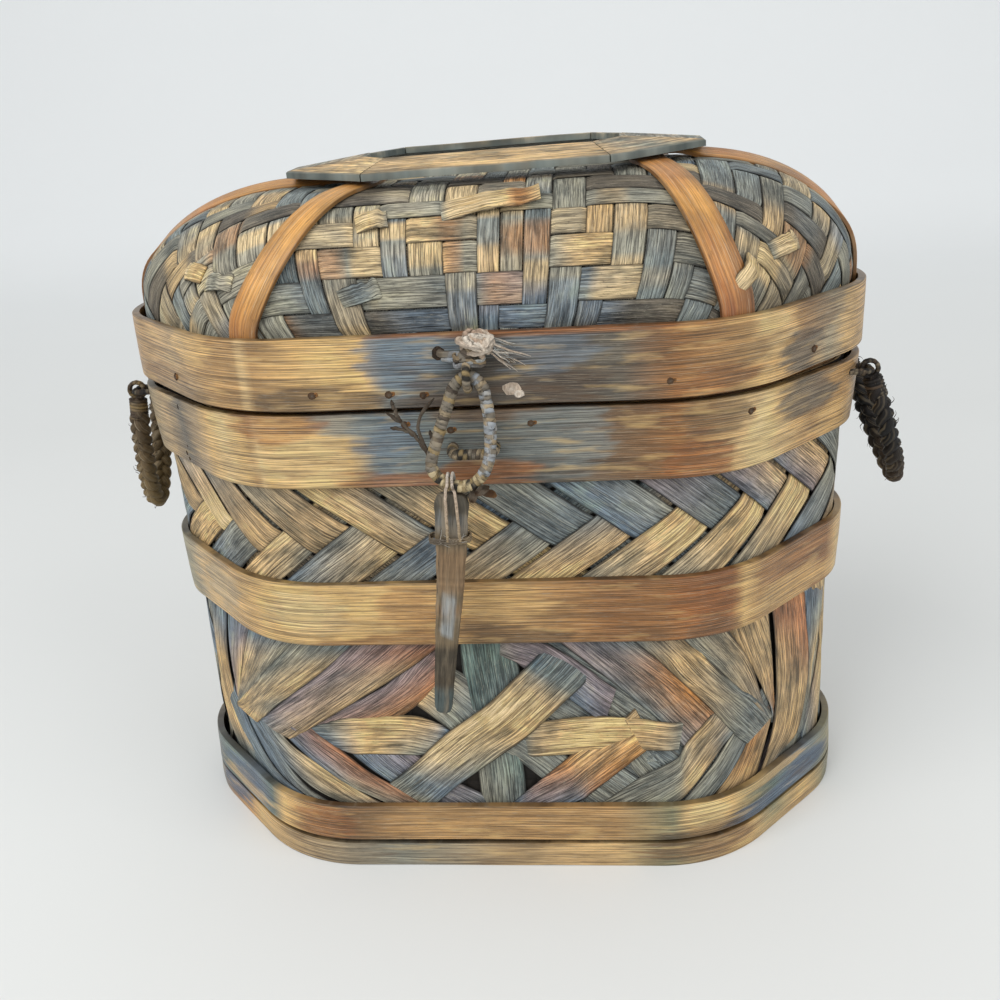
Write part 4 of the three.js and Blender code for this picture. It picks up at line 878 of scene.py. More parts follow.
def makeFloor(name, inset, top, bottom, node, slot):
    shares = (0.02, 0.35, 0.7, 0.98, 1)
    makeRings([planRing(inset, top, k) for k in shares]
              + [planRing(inset, bottom, k) for k in shares[::-1]],
              name, liningMaterial, "basket", node, slot, "flat")


# heights at which the wall's slope changes
wallLevels = (26, 60, 95, 119, 155)
outer, inner = lining["under"]
levels = (10.6, *wallLevels[:4], 140, 155, 178.5)
# the ply under the wall's strips is near black: painted shade for the gaps
makeRings([planRing(outer, z) for z in levels] + [planRing(inner, z) for z in levels[::-1]],
          "under_plait", shadeBackingMaterial, "basket", "body_weave", "wall_plait")
makeFloor("basket_floor", 5.0, 10.5, 9.0, "body_weave", "wall_plait")

outer, inner = lining["layer"]
levels = (12.5, *wallLevels, 170)
brim = lining["top"] - 0.4
makeRings([planRing(outer, z) for z in (11.2, *levels, brim)]
          + [planRing(outer + 0.45, lining["top"]), planRing(inner - 0.35, lining["top"])]
          + [planRing(inner, z) for z in (brim, *levels[::-1])],
          "body_lining_plait", liningMaterial, "basket", "body_lining", "lining")
makeFloor("body_lining_floor", 6.0, 12.4, 11.3, "body_lining", "lining")

face, top = lining["collar"], lining["collarTop"]
profile = [(face + 0.3, 158), (face, 158.6), (face, 170), (face, 178), (face, top - 0.6),
           (face + 0.4, top), (face + 1.8, top), (face + 2.2, top - 0.6), (face + 2.2, 170),
           (face + 2.2, 158.6), (face + 1.9, 158)]
makeRings([planRing(f + hoopInset(min(z, lining["top"])) - hoopInset(z), z) for f, z in profile],
          "body_collar_hoop", hoopMaterial, "basket", "body_collar", "hoop_bamboo", letter="B")

# lid: the dome and the mat of strips that is drawn over it
dome = {
    "rim": 205.4, "base": 209.0, "top": 245.9, "crownX": 68.0, "crownY": 34.0, "inset": 5.2,
    "over": -0.35, "under": 0.75, "thickness": 0.5, "tilt": math.tan(math.radians(1.15)),
}
rimX, rimY = box["endReach"] - dome["inset"], box["frontReach"] - dome["inset"]
domeRise = dome["top"] - dome["base"]


def domeProfiles(count=60):
    # from the crown's edge outwards: draw (1 at the rim), height, size against the rim along x
    # and y, and size of the mat when it lies flat, along x and y
    draw = np.linspace(0, 1, count)
    z = dome["base"] + domeRise * np.sqrt(1 - draw ** 2)
    x, y = lerp(dome["crownX"], rimX, draw), lerp(dome["crownY"], rimY, draw)
    matX, matY = (k[0] + distances(np.stack([k, z], axis=1)) for k in (x, y))
    return draw, z, x / rimX, y / rimY, matX / rimX, matY / rimY


domeTable = domeProfiles()
matEndX, matEndY = domeTable[4][-1], domeTable[5][-1]
x, y, nx, ny = planAt(np.linspace(0, planLength, 1500))
x, y = x - dome["inset"] * nx, y - dome["inset"] * ny
rimOrder = np.argsort(np.arctan2(y, x))
rimAngles, rimRadii = np.arctan2(y, x)[rimOrder], np.hypot(x, y)[rimOrder]


def rimGauge(x, y):
    # 1 on the rim's plan, less inside it
    return np.hypot(x, y) / np.interp(np.arctan2(y, x), rimAngles, rimRadii, period=2 * math.pi)


def matPlace(u, v):
    # mat coordinates to a point on the dome
    draw, z, scaleX, scaleY, matX, matY = domeTable
    low, high = np.zeros_like(u), np.ones_like(u)
    for _ in range(26):
        mid = (low + high) / 2
        outside = rimGauge(u / np.interp(mid, draw, matX), v / np.interp(mid, draw, matY)) > 1
        low, high = np.where(outside, mid, low), np.where(outside, high, mid)
    at = (low + high) / 2
    ax, ay = np.interp(at, draw, matX), np.interp(at, draw, matY)
    x, y = u * np.interp(at, draw, scaleX) / ax, v * np.interp(at, draw, scaleY) / ay
    # inside the crown the mat lies flat, and past the rim it hangs straight down
    past = np.maximum(rimGauge(u / matEndX, v / matEndY) - 1, 0)
    x, y = x / (1 + past), y / (1 + past)
    crown = rimGauge(u / matX[0], v / matY[0])
    swell = np.clip(1 - crown, 0, 1) * 0.5
    height = np.where(crown < 1, dome["top"] + swell, np.interp(at, draw, z))
    rise = np.clip((height - dome["base"]) / domeRise, 0, 1)
    height = height - past * np.hypot(u, v) + dome["tilt"] * x * rise
    return np.stack([x, y, height], axis=-1)


def onDome(u, v, lift):
    # lift is inwards, as the wall's inset is
    u, v, lift = np.broadcast_arrays(*(np.asarray(a, float) for a in (u, v, lift)))
    near = 0.8
    du = matPlace(u + near, v) - matPlace(u - near, v)
    dv = matPlace(u, v + near) - matPlace(u, v - near)
    normal = np.cross(du, dv)
    normal /= np.maximum(np.linalg.norm(normal, axis=-1, keepdims=True), 1e-9)
    return matPlace(u, v) - normal * lift[..., None]


matReachX, matReachY = float(matEndX * rimX), float(matEndY * rimY)


def stripEdges(reach, widths):
    edges, at = [], -reach - 4
    while at < reach + 4:
        edges.append(at)
        at += chance.choice(widths)
    return edges


def floats(i, j):
    # mostly two over and two under, with odd ones where the plaiter slipped
    odd = (i * 7 + j * 13) % 11 == 0
    return ((i + j) % 4 < 2) != odd


lidTints = ("g", "S", "E", "S", "g", "A", "g", "s", "S", "g", "K", "g")
patchShades = ("y", "Y", "o", "Y", "b", "Y", "B", "A")
# u, v, reach along u and v, shade, strength
lidSpots = (
    (92, -58, 34, 30, "K", 0.45), (-84, -58, 26, 16, "A", 0.4), (-10, -70, 40, 12, "A", 0.25),
    (-35, -57, 8, 4, "Y", 0.9), (-33, -72, 5, 8, "Y", 0.8), (-14, -68, 9, 5, "Y", 0.9),
    (-20, -61, 10, 3, "Y", 0.8), (-6, -66, 5, 6, "o", 0.7), (18, -66, 8, 6, "B", 0.8),
    (8, -73, 5, 6, "y", 0.8), (22, -78, 8, 5, "Y", 0.7), (12, -84, 10, 5, "o", 0.8),
    (0, -87, 30, 6, "b", 0.8), (30, -86, 24, 7, "b", 0.7), (-48, -70, 7, 6, "o", 0.6),
    (-52, -66, 6, 4, "Y", 0.6), (-84, -48, 8, 7, "o", 0.6), (-66, -56, 9, 5, "Y", 0.7),
    (-50, -84, 16, 8, "s", 0.6), (-108, -40, 8, 9, "Y", 0.6), (-96, -62, 8, 6, "A", 0.7),
    (-20, -48, 14, 5, "A", 0.6), (12, -44, 16, 5, "A", 0.5), (6, -54, 12, 4, "Y", 0.8),
    (60, -66, 10, 7, "K", 0.4), (96, -62, 8, 8, "Y", 0.8), (86, -76, 7, 8, "y", 0.7),
    (108, -46, 8, 8, "o", 0.5), (74, -82, 12, 6, "s", 0.6), (112, -28, 9, 8, "s", 0.6),
    (50, -80, 10, 6, "Y", 0.6), (44, -60, 8, 8, "y", 0.7),
)


def matStrips(skin, lines, crossings, alongX):
    # half the gap between strips, half the length in which one dips, step, share past the rim
    gap, blend, step, hang = 0.14, 1.6, 1.9, 1.09
    reach = matReachX if alongX else matReachY
    toUV = lambda run, centre: (run, centre) if alongX else (centre, run)

    def over(i, k):
        return float(floats(i, k) if alongX else not floats(k, i))

    def levelAt(i, value, j):
        near = crossings[j] if 0 <= j < len(crossings) else value
        after = crossings[j + 1] if j + 1 < len(crossings) else value
        if value - near < blend:
            t = smooth((value - near) / blend / 2 + 0.5)
            return lerp(over(i, j - 1), over(i, j), t)
        if after - value < blend:
            t = smooth((value - after) / blend / 2 + 0.5)
            return lerp(over(i, j), over(i, j + 1), t)
        return over(i, j)

    for i in range(len(lines) - 1):
        a0, a1 = lines[i] + gap, lines[i + 1] - gap
        centre = (a0 + a1) / 2
        run = np.arange(-reach - 6, reach + 6, step)
        u, v = toUV(run, np.full_like(run, centre))
        run = run[rimGauge(u / matEndX, v / matEndY) < hang]
        if len(run) < 6:
            continue
        cells = np.searchsorted(crossings, run) - 1
        level = np.array([levelAt(i, value, j) for value, j in zip(run, cells)])
        lift = lerp(dome["under"], dome["over"], level)
        lift = lift + 0.1 * np.array([rough(v * 0.15, i * 2.3, alongX) for v in run])
        base = np.repeat(shades[chance.choice(lidTints)][None], len(run), axis=0)
        side = base.copy()
        for _ in range(chance.choice((1, 2, 3))):
            at, half = chance.uniform(run[0], run[-1]), chance.uniform(5, 13)
            mask = smooth(1.4 - np.abs(run - at) / half)[:, None] * chance.uniform(0.6, 1)
            letter = chance.choice(patchShades)
            base = lerp(base, shades[letter], mask)
            side = lerp(side, shades[letter], mask * chance.uniform(0.4, 1))
        u, v = toUV(run, centre)
        for spotU, spotV, reachU, reachV, letter, strength in lidSpots:
            far = ((u - spotU) / reachU) ** 2 + ((v - spotV) / reachV) ** 2
            mask = smooth(1.5 - far)[:, None] * strength
            base = lerp(base, shades[letter], mask)
            side = lerp(side, shades[letter], mask * 0.8)
        sides = [np.stack(toUV(run, np.full_like(run, a)), axis=1) for a in (a1, a0)]
        addStrip(skin, *sides, lift, base, side, dome["thickness"], 0.12, onDome)


mat = Skin("lid_plait_mat")
acrossLines = stripEdges(matReachX, (7.4, 8.6, 9.6, 10.6, 11.6))
alongLines = stripEdges(matReachY, (7.2, 8.2, 9.4, 10.2))
matStrips(mat, alongLines, acrossLines, True)
matStrips(mat, acrossLines, alongLines, False)


def addCurl(start, end, width, lifts, letters):
    # a strip that has sprung up out of the mat; lifts: how high it stands from end to end
    share = np.linspace(0, 1, 22)[:, None]
    middle = lerp(np.array(start, float), np.array(end, float), share)
    way = np.array(end, float) - start
    across = np.array([-way[1], way[0]]) / np.linalg.norm(way) * width / 2
    ragged = np.array([rough(v * 6, width) for v in share[:, 0]])[:, None] * 0.35
    rise = np.interp(share[:, 0], np.linspace(0, 1, len(lifts)), lifts)
    tints = tintRows(letters, 22)
    addStrip(mat, middle + across * (1 + ragged), middle - across * (1 + ragged * 0.3), -rise,
             tints, tints, 0.4, 0.5, onDome)


addCurl((-9, -55), (22, -51), 7.5, (0.5, 1.4, 2.2, 2.4, 1.6, 2.8), "gYYYoY")
addCurl((-36, -58), (-26, -56.5), 7.0, (0.6, 1.8, 2.2, 0.9), "YYA")
addCurl((-101, -50), (-92, -60), 6.5, (0.5, 2.6, 3.4, 0.8), "YYy")
addCurl((-92, -64), (-80, -71), 6.0, (0.4, 2.2, 2.6, 0.6), "AgA")
addCurl((88, -80), (92, -66), 6.5, (0.6, 2.6, 3.2, 1.0), "AYY")
addCurl((98, -58), (108, -44), 6.0, (0.5, 2.0, 2.6, 0.6), "gYE")
addCurl((-44, -82), (-30, -79), 6.0, (0.4, 1.3, 1.6, 0.5), "gsg")
mat.make(matMaterial, "lid", ["lid_weave"], "lid_plait")


def domeSlice(angle):
    # so far up from the rim: the dome's slope, and its size along x and y against the rim
    draw = math.cos(angle)
    tilt = math.atan2(math.sin(angle) * (box["endReach"] - dome["crownX"]), domeRise * draw)
    return tilt, lerp(dome["crownX"] / rimX, 1, draw), lerp(dome["crownY"] / rimY, 1, draw)


def domeRing(angle, lift, count=226):
    # angle 0 at the rim and a right angle at the crown, as the part's source has it
    x, y, nx, ny = planAt(np.arange(count) * planLength / count)
    tilt, scaleX, scaleY = domeSlice(angle)
    px, py = (x - dome["inset"] * nx) * scaleX, (y - dome["inset"] * ny) * scaleY
    pz = dome["base"] + (domeRise + dome["tilt"] * px) * math.sin(angle)
    return np.stack([px - lift * nx * math.cos(tilt), py - lift * ny * math.cos(tilt),
                     pz - lift * math.sin(tilt)], axis=1)


def domeFace(lift, skirt):
    middle = 0.5 * (skirt + dome["rim"])
    rings = [planRing(dome["inset"] + lift, z) for z in (skirt, middle, dome["rim"])]
    rings += [domeRing(k / 12 * math.pi / 2, lift) for k in range(13)]
    crown, level = rings[-1], dome["top"] - lift
    return rings + [np.column_stack([crown[:, :2] * k, level + (crown[:, 2] - level) * k])
                    for k in (0.75, 0.5, 0.25, 0.02)]


# each from the crown inside, down round the skirt and up to the crown outside
for name, material, outer, inner, skirt, node, slot in (
        # the under plait is near black: painted shade seen through the mat's gaps
        ("lid_under_plait", shadeBackingMaterial, 1.35, 1.8, 184.2, "lid_weave", "lid_plait"),
        ("lid_lining_plait", liningMaterial, 2.0, 3.2, 188.6, "lid_lining", "lining")):
    makeRings(domeFace(inner, skirt)[::-1] + domeFace(outer, skirt),
              name, material, "lid", node, slot, "dome")

# the mat's edge folded over inside the rim hoop, below the ends of the ribs
profile = [(2.4, 186.0), (2.4, 189.0), (3.6, 190.2), (6.7, 190.2), (6.7, 185.4), (3.6, 185.2)]
makeRings([planRing(f, z) for f, z in profile], "lid_mat_folded_edge", hoopMaterial,
          "lid", "lid_rim_hoop", "hoop_bamboo", letter="N")

face, low, high = 8.9, 189.5, 202
profile = [(face, low + 0.5), (face, high - 0.5), (face + 0.5, high), (face + 1.7, high),
           (face + 2.2, high - 0.5), (face + 2.2, low + 0.5), (face + 1.7, low), (face + 0.5, low)]
makeRings([planRing(f, z) for f, z in profile], "lid_inner_hoop_band", hoopMaterial,
          "lid", "lid_inner_hoop", "hoop_bamboo", letter="B")
print("lid mat and linings done")

# ribs over the lid
rib = {
    "widths": {"left": 10.2, "right": 12.0, "long": 9.5}, "thickness": 1.4, "tuck": 13.0,
    "standoff": 1.0, "gap": 0.6, "roll": math.radians(15), "sag": 1.6,
    # where the long rib comes free of the cross ribs, left and right, and where it turns down
    "crossed": {-1: 47, 1: 66}, "turnsDown": 118, "blend": 12,
}
ribRise = rib["gap"] + rib["thickness"] / 2


def addSplint(skin, centres, normals, width, thickness, letters, seed):
    rows = np.hstack([centres, normals]).astype(float)
    run = distances(rows[:, :3])
    count = max(12, int(run[-1] / 2.5))
    even = np.linspace(0, run[-1], count)
    rows = np.stack([np.interp(even, run, column) for column in rows.T], axis=1)
    centres, normals = rows[:, :3], rows[:, 3:]
    for _ in range(3):
        centres[1:-1] = (centres[:-2] + 2 * centres[1:-1] + centres[2:]) / 4
    forward = np.gradient(centres, axis=0)
    forward /= np.linalg.norm(forward, axis=1, keepdims=True)
    across = np.cross(forward, normals)
    across /= np.linalg.norm(across, axis=1, keepdims=True)
    up = np.cross(across, forward)
    shape = np.array([(-0.5, 0.35), (-0.47, 0.5), (-0.25, 0.56), (0, 0.6), (0.25, 0.56),
                      (0.47, 0.5), (0.5, 0.35), (0.5, -0.4), (0.46, -0.5), (-0.46, -0.5),
                      (-0.5, -0.4)])
    waves = np.array([[rough(v * 0.03, seed, k) for k in (0, 1)] for v in even]) * 0.25
    points = np.stack([
        centres + across * (a * (width + waves[:, 0 if a > 0 else 1]))[:, None]
        + up * (b * thickness) for a, b in shape], axis=1)
    skin.grid(points, grainOf(points, even[:, None], shape[:, 0] * width, seed * 7.7),
              tintRows(letters, count)[:, None, :], np.array([1, 0.3, 0, 0, 0, 0.3, 1, 1, 1, 1, 1]))


def ribFinish(name):
    finish = Finish(name)
    along, across, number, tint, edge = finish.reads()
    broad = finish.grain((along * 0.05, across * 0.2, number + 4.0))
    worn = finish.toward(finish.mix(0.35, tint, "#7c4420"), finish.mix(0.35, tint, "#dba860"),
                         broad, 0.35, 0.7)
    colour, height = fibrous(finish, along, across, number, worn, 40.0, 0.5, 0.2, 1.15, 0.35)
    # the splint's edges and underside (edge 1) are darkened: painted shade where it lies on the mat
    return finish.surface(finish.mix(edge * 0.6, colour, "#3a2110"), 0.42, 0.5,
                          height + broad, 0.0003, 0.5)


ribMaterial = ribFinish("rubbed_rib")


def crossRibPath(rimAt, crownAt, steps=24):
    # over the dome from front to back, at these places along it at the rim and at the crown
    s = np.linspace(0, planLength / 4, 800)
    x = planAt(s)[0]
    places, normals = [], []
    for k in range(steps + 1):
        angle = k / steps * math.pi / 2
        tilt, scaleX, scaleY = domeSlice(angle)
        target = lerp(rimAt, crownAt, k / steps)
        px, py, nx, ny = (float(v) for v in planAt(np.interp(abs(target) / scaleX, x, s)))
        normal = np.array([math.copysign(nx, target) * math.cos(tilt), ny * math.cos(tilt),
                           math.sin(tilt)])
        x0 = math.copysign((px - dome["inset"] * abs(nx)) * scaleX, target)
        climb = (domeRise + dome["tilt"] * x0) * math.sin(angle)
        point = np.array([x0, (py - dome["inset"] * ny) * scaleY, dome["base"] + climb])
        places.append(point + normal * ribRise)
        normals.append(normal)
    foot = np.array([*places[0][:2], dome["rim"] - rib["tuck"]])
    front, frontNormals = np.array([foot, *places]), np.array([normals[0], *normals])
    mirror = np.array([1, -1, 1])
    return (np.vstack([front, front[::-1] * mirror]),
            np.vstack([frontNormals, frontNormals[::-1] * mirror]))


def longRibPath(steps=26):
    outward = box["endReach"] - hoopThickness - ribRise
    crown = dome["top"] + rib["gap"] + rib["thickness"] * 1.5 + 0.3
    shoulder = dome["base"] + rib["standoff"]
    places, normals = [], []
    for side in (1, -1):
        half = [np.array([side * outward, 0, dome["rim"] - rib["tuck"]])]
        halfNormals = [np.array([side, 0.0, 0.0])]
        for k in range(steps + 1):
            angle = k / steps * math.pi / 2
            x = side * (dome["crownX"] + (outward - dome["crownX"]) * math.cos(angle))
            climb = (crown - shoulder + dome["tilt"] * x) * math.sin(angle)
            away = np.array([side * math.cos(angle), 0, math.sin(angle)])
            # between the cross rib and the shoulder it rolls a little and sags onto the mat
            free = float(smooth((abs(x) - rib["crossed"][side]) / rib["blend"]))
            free *= 1 - float(smooth((abs(x) - rib["turnsDown"]) / rib["blend"]))
            half.append(np.array([x, 0, shoulder + climb]) - away * rib["sag"] * free)
            roll = rib["roll"] * free
            halfNormals.append(away * math.cos(roll) - np.array([0, math.sin(roll), 0]))
        places += half[::side]
        normals += halfNormals[::side]
    return places, normals


for name, path, letters in (
        ("left", crossRibPath(-74.5, -39), "32111254452113"),
        ("right", crossRibPath(83, 59), "33212254452123"),
        ("long", longRibPath(), "25252154445212525")):
    skin = Skin(f"lid_rib_{name}_splint")
    addSplint(skin, *path, rib["widths"][name], rib["thickness"], letters, len(letters) * 1.7)
    skin.make(ribMaterial, "lid", [f"lid_rib_{name}"], "rib_bamboo")

# top frame: eight laths with mitred ends
topFrame = {
    "centre": (4.0, 0.0, 249.98), "thickness": 2.2, "slope": 3.3, "backTilt": math.radians(1),
    "sideTilt": math.radians(1.15), "halfLength": 73.0, "halfDepth": 40.0, "flatHalf": 40.0,
    "endHalf": 7.0, "lath": 19.0, "endLath": 29.0,
}


def frameOutline(inset, endInset):
    l, d = topFrame["halfLength"] - endInset, topFrame["halfDepth"] - inset
    f, e = min(topFrame["flatHalf"], l - inset / 2), topFrame["endHalf"]
    return np.array([(-f, -d), (f, -d), (l, -e), (l, e), (f, d), (-f, d), (-l, e), (-l, -e)])


def frameFinish(name):
    finish = Finish(name)
    along, across, number, tint, edge = finish.reads()
    broad = finish.grain((along * 0.06, across * 0.25, number))
    base = finish.toward(tint, finish.mix(0.6, tint, "#dcc19a"), broad, 0.42, 0.66)
    base = finish.toward(base, "#6d7468", broad, 0.45, 0.33, 0.55)
    colour, height = fibrous(finish, along, across, number, base, 26.0, 1.3, 0.42, 1.3)
    rim = finish.toward("#4a5453", "#717c79", broad, 0.4, 0.6)
    return finish.surface(finish.mix(edge * 0.9, colour, rim), 0.62, 0.35, height, 0.0004, 0.6)


frameMaterial = frameFinish("frame_lath")
outer, inner = frameOutline(0, 0), frameOutline(topFrame["lath"], topFrame["endLath"])
frameTurn = np.array(Matrix.Rotation(-topFrame["sideTilt"], 3, "Y")
                     @ Matrix.Rotation(topFrame["backTilt"], 3, "X"))
lathShades = ("tyt", "tgt", "gsg", "tgt", "gtg", "gsg", "gsg", "tyY")
# a lath's section: share of its width, and height in thicknesses
lathProfile = ((0.0, 0.0), (0.0, 0.86), (0.02, 1.04), (0.05, 1.06), (0.5, 1.06), (0.95, 1.06),
               (0.99, 0.9), (1.0, 0.0), (0.5, 0.0))
for k in range(8):
    skin = Skin("top_frame_lath_%d" % (k + 1))
    a, b, c, d = outer[k], outer[(k + 1) % 8], inner[k], inner[(k + 1) % 8]
    length = np.linalg.norm(b - a)
    t = np.linspace(0.004, 0.996, max(5, int(length / 4)))
    rows = []
    for share, level in lathProfile:
        way = lerp(lerp(a, b, t[:, None]), lerp(c, d, t[:, None]), share)
        warp = np.array([rough(p[0] * 0.03, p[1] * 0.03, k) for p in way]) * 0.25
        height = topFrame["slope"] * share + topFrame["thickness"] * level + warp - 0.15
        rows.append(np.column_stack([way, height]) @ frameTurn.T + topFrame["centre"])
    points = np.stack(rows, axis=1)
    grain = grainOf(points, (t * length)[:, None],
                    np.array([p[0] for p in lathProfile]) * topFrame["lath"], k * 3.3)
    skin.grid(points, grain, tintRows(lathShades[k], len(t))[:, None, :],
              np.array([1, 1, 0.7, 0, 0, 0, 0.7, 1, 1]))
    skin.make(frameMaterial, "lid", ["lid_top_frame"], "frame_bamboo")
print("ribs and top frame done")

# cords: latch, handles, hinges
def curvePath(points, count, closed=False):
    points = np.asarray(points, float)
    if closed:
        padded = np.vstack([points[-2:], points, points[:3]])
        rows = through(padded, (len(padded) - 1) * 24 + 1)[24 * 2:24 * (len(points) + 2) + 1]
    else:
        rows = through(points, (len(points) - 1) * 24 + 1)
    return evenly(rows, count), distances(rows)[-1]


def circle(centre, first, second, count):
    # count points round the ellipse with these half axes
    turns = np.linspace(0, 2 * math.pi, count + 1)[:-1]
    return [centre + np.multiply(first, math.cos(a)) + np.multiply(second, math.sin(a))
            for a in turns]


def stapleRoute(ends, bars):
    # out of the wall, along the bar and back
    return [ends[0], lerp(bars[0], ends[0], 0.3), lerp(bars[0], bars[1], 0.15),
            lerp(bars[0], bars[1], 0.5), lerp(bars[1], bars[0], 0.15),
            lerp(bars[1], ends[1], 0.3), ends[1]]


def bulged(value, power):
    # a cosine or sine pushed outwards, for a section between round and square
    return math.copysign(abs(value) ** power, value)


def frames(path, closed=False):
    # directions square to a path, carried along it without twist
    forward = np.gradient(path, axis=0)
    if closed:
        forward = np.roll(path, -1, axis=0) - np.roll(path, 1, axis=0)
    forward /= np.linalg.norm(forward, axis=1, keepdims=True)
    side = np.cross(forward[0], (0.0, 0.13, 1.0))
    if np.linalg.norm(side) < 0.1:
        side = np.cross(forward[0], (1.0, 0.0, 0.0))
    sides = []
    for f in forward:
        side = side - f * np.dot(side, f)
        side = side / np.linalg.norm(side)
        sides.append(side)
    sides = np.array(sides)
    return sides, np.cross(forward, sides)


def addCord(skin, points, radius, count, letters, closed=False, turns=0.0, ridge=0.0, columns=9,
            flat=1.0, seed=0.0, waver=0.0, taper=None, smoothed=True):
    # a round cord, or one that is wrapped in so many turns, each a ridge of its own shade
    path, length = curvePath(points, count, closed) if smoothed else (np.asarray(points, float), 1)
    if waver:
        path = path + np.array([[rough(v * 0.21, seed, k) for k in range(3)]
                                for v in range(len(path))]) * waver
    if closed:
        path = path[:-1]
    t = np.arange(len(path)) / max(len(path) - 1, 1)
    along = (t * length)[:, None]
    angle = np.arange(columns) / columns * 2 * math.pi
    if turns:
        phase = t[:, None] * turns + angle / (2 * math.pi)
        hump, wound = np.abs(np.sin(math.pi * phase)), np.floor(phase)
        r = radius + ridge * (hump ** 0.6 - 0.6)
        tint = np.array([shades[c] for c in letters])[wound.astype(int) % len(letters)]
        # edge is 1 in the groove where one turn meets the next, which the finish darkens as painted
        # shade
        edge = np.clip(1 - hump * 2.4, 0, 1)
        lie = (angle * radius, along, seed + wound * 0.37)
    else:
        r, edge = radius, 0.0
        tint = tintRows(letters, len(path))[:, None, :]
        lie = (along, angle * radius, seed)
    if taper:
        r = r * np.interp(t, *zip(*taper))[:, None]
    sides, ups = frames(path, closed)
    points = (path[:, None] + sides[:, None] * (np.cos(angle) * r)[..., None]
              + ups[:, None] * (np.sin(angle) * r * flat)[..., None])
    skin.grid(points, grainOf(points, *lie), tint, edge, ring=closed)


def cordFinish(name, roughness, contrast):
    finish = Finish(name)
    along, across, number, tint, edge = finish.reads()
    fine = finish.grain((along * 0.25, across * 3.2, number), roughness=0.6)
    broad = finish.grain((along * 0.12, across * 0.4, number), detail=2.0)
    colour = finish.mix(contrast, tint, finish.toward("#5c5c5c", "#ffffff", fine, 0.35, 0.65),
                        "MULTIPLY")
    colour = finish.toward(colour, "#b9a88a", broad, 0.5, 0.72, 0.35)
    colour = finish.toward(colour, "#120d09", fine, 0.4, 0.28, 0.6)
    # edge darkens the grooves between the turns: painted shade
    return finish.surface(finish.mix(edge * 0.95, colour, "#120d09"), roughness, 0.3,
                          fine, 0.0004, 0.7)


cordMaterial = cordFinish("wrapped_cord", 0.7, 0.5)
handleMaterial = cordFinish("dark_braid", 0.6, 0.7)

front = box["frontReach"]
latch = {
    "pivot": np.array([-1.4, -(front + 6), 193.5]), "drop": 33.0, "left": 12.6, "right": 6.2,
    "standout": 11.5, "cord": 2.0, "eye": 4.1, "knot": np.array([2.2, -(front + 4.816), 203.0]),
    "hole": np.array([-9.4, 2.6 - front, 199.5]),
    "stapleZ": 168.5, "stapleLegs": (-8.2, 5.0), "stapleOut": 6.8, "stapleCord": 1.65,
}
wrapShades = "dcfahfcadh"
legWraps = "cchccfchccafcchcfcchccfc"
bottomWraps = "ehdehhdehedheh"
otherLegWraps = "qcaqqcqaqcqqacqaqcqcacqc"
# shares of the loop's reach aside and of its drop, down the left leg and up the right one
loopShares = ((0, 0), (-0.33, 0.09), (-0.52, 0.26), (-0.8, 0.55), (-1, 0.84), (-0.55, 1), (0, 1),
              (0.8, 0.82), (1, 0.5), (0.85, 0.22), (0.66, 0.09))


def loopPoint(aside, down):
    x = aside * latch["left" if aside < 0 else "right"]
    y = lerp(latch["pivot"][1], -(front + latch["standout"]), down)
    return np.array([latch["pivot"][0] + x, y, latch["pivot"][2] - down * latch["drop"]])


loop = Skin("latch_loop_cord")
addCord(loop, [loopPoint(*shares) for shares in loopShares], latch["cord"] - 0.15, 620,
        legWraps + bottomWraps + otherLegWraps, True, 62, 0.24, 10, seed=2.0, waver=0.25)
loop.make(cordMaterial, "latch_loop", ["latch_loop"], "latch_cord", sharp=70)

neck = Skin("latch_neck_cord")
knot, pivot, hole, eye = latch["knot"], latch["pivot"], latch["hole"], latch["eye"]
addCord(neck, circle(pivot, (0, eye, 0), (0, 0, eye), 12), 1.25, 150, wrapShades, True, 20, 0.25,
        seed=5.0)
addCord(neck, [pivot + (0, 0, eye), (*pivot[:2], knot[2] - 3.4), knot], 2.4, 60, wrapShades,
        False, 6, 0.35, 10, seed=6.0)
addCord(neck, [hole, (hole[0], -(front + 2), hole[2]), (pivot[0], knot[1], knot[2] - 3.4)],
        1.15, 60, "dfcqn", columns=10, seed=7.0, waver=0.3)
addCord(neck, [hole + (0.6, 0, -1.6), (hole[0] + 1.2, -(front + 3), hole[2] - 1.4),
               (pivot[0], knot[1] - 1, knot[2] - 4.6)],
        0.8, 60, "cqb", columns=8, seed=9.0, waver=0.4)
neck.make(cordMaterial, "lid", ["latch_knot"], "latch_cord", sharp=70)


def addLump(skin, centre, radii, letters, seed, folds, rings=26, columns=34):
    # a crumpled knot: a ball whose surface is folded by noise
    rows = []
    for i in range(rings):
        polar = math.pi * (i + 0.5) / rings
        row = []
        for j in range(columns):
            turn = 2 * math.pi * j / columns
            x, y = math.sin(polar) * math.cos(turn), math.sin(polar) * math.sin(turn)
            z = math.cos(polar)
            swell = (rough(x * 2.2 + seed, y * 2.2, z * 2.2)
                     + 0.6 * abs(rough(x * 5 + seed, y * 5, z * 5))
                     + 0.25 * rough(x * 12, y * 12 + seed, z * 12))
            row.append(centre + np.array([x, y, z]) * radii * (1 + folds * swell))
        rows.append(row)
    points = np.array(rows)
    skin.grid(points, points, tintRows(letters, rings)[:, None, :], 0.0)


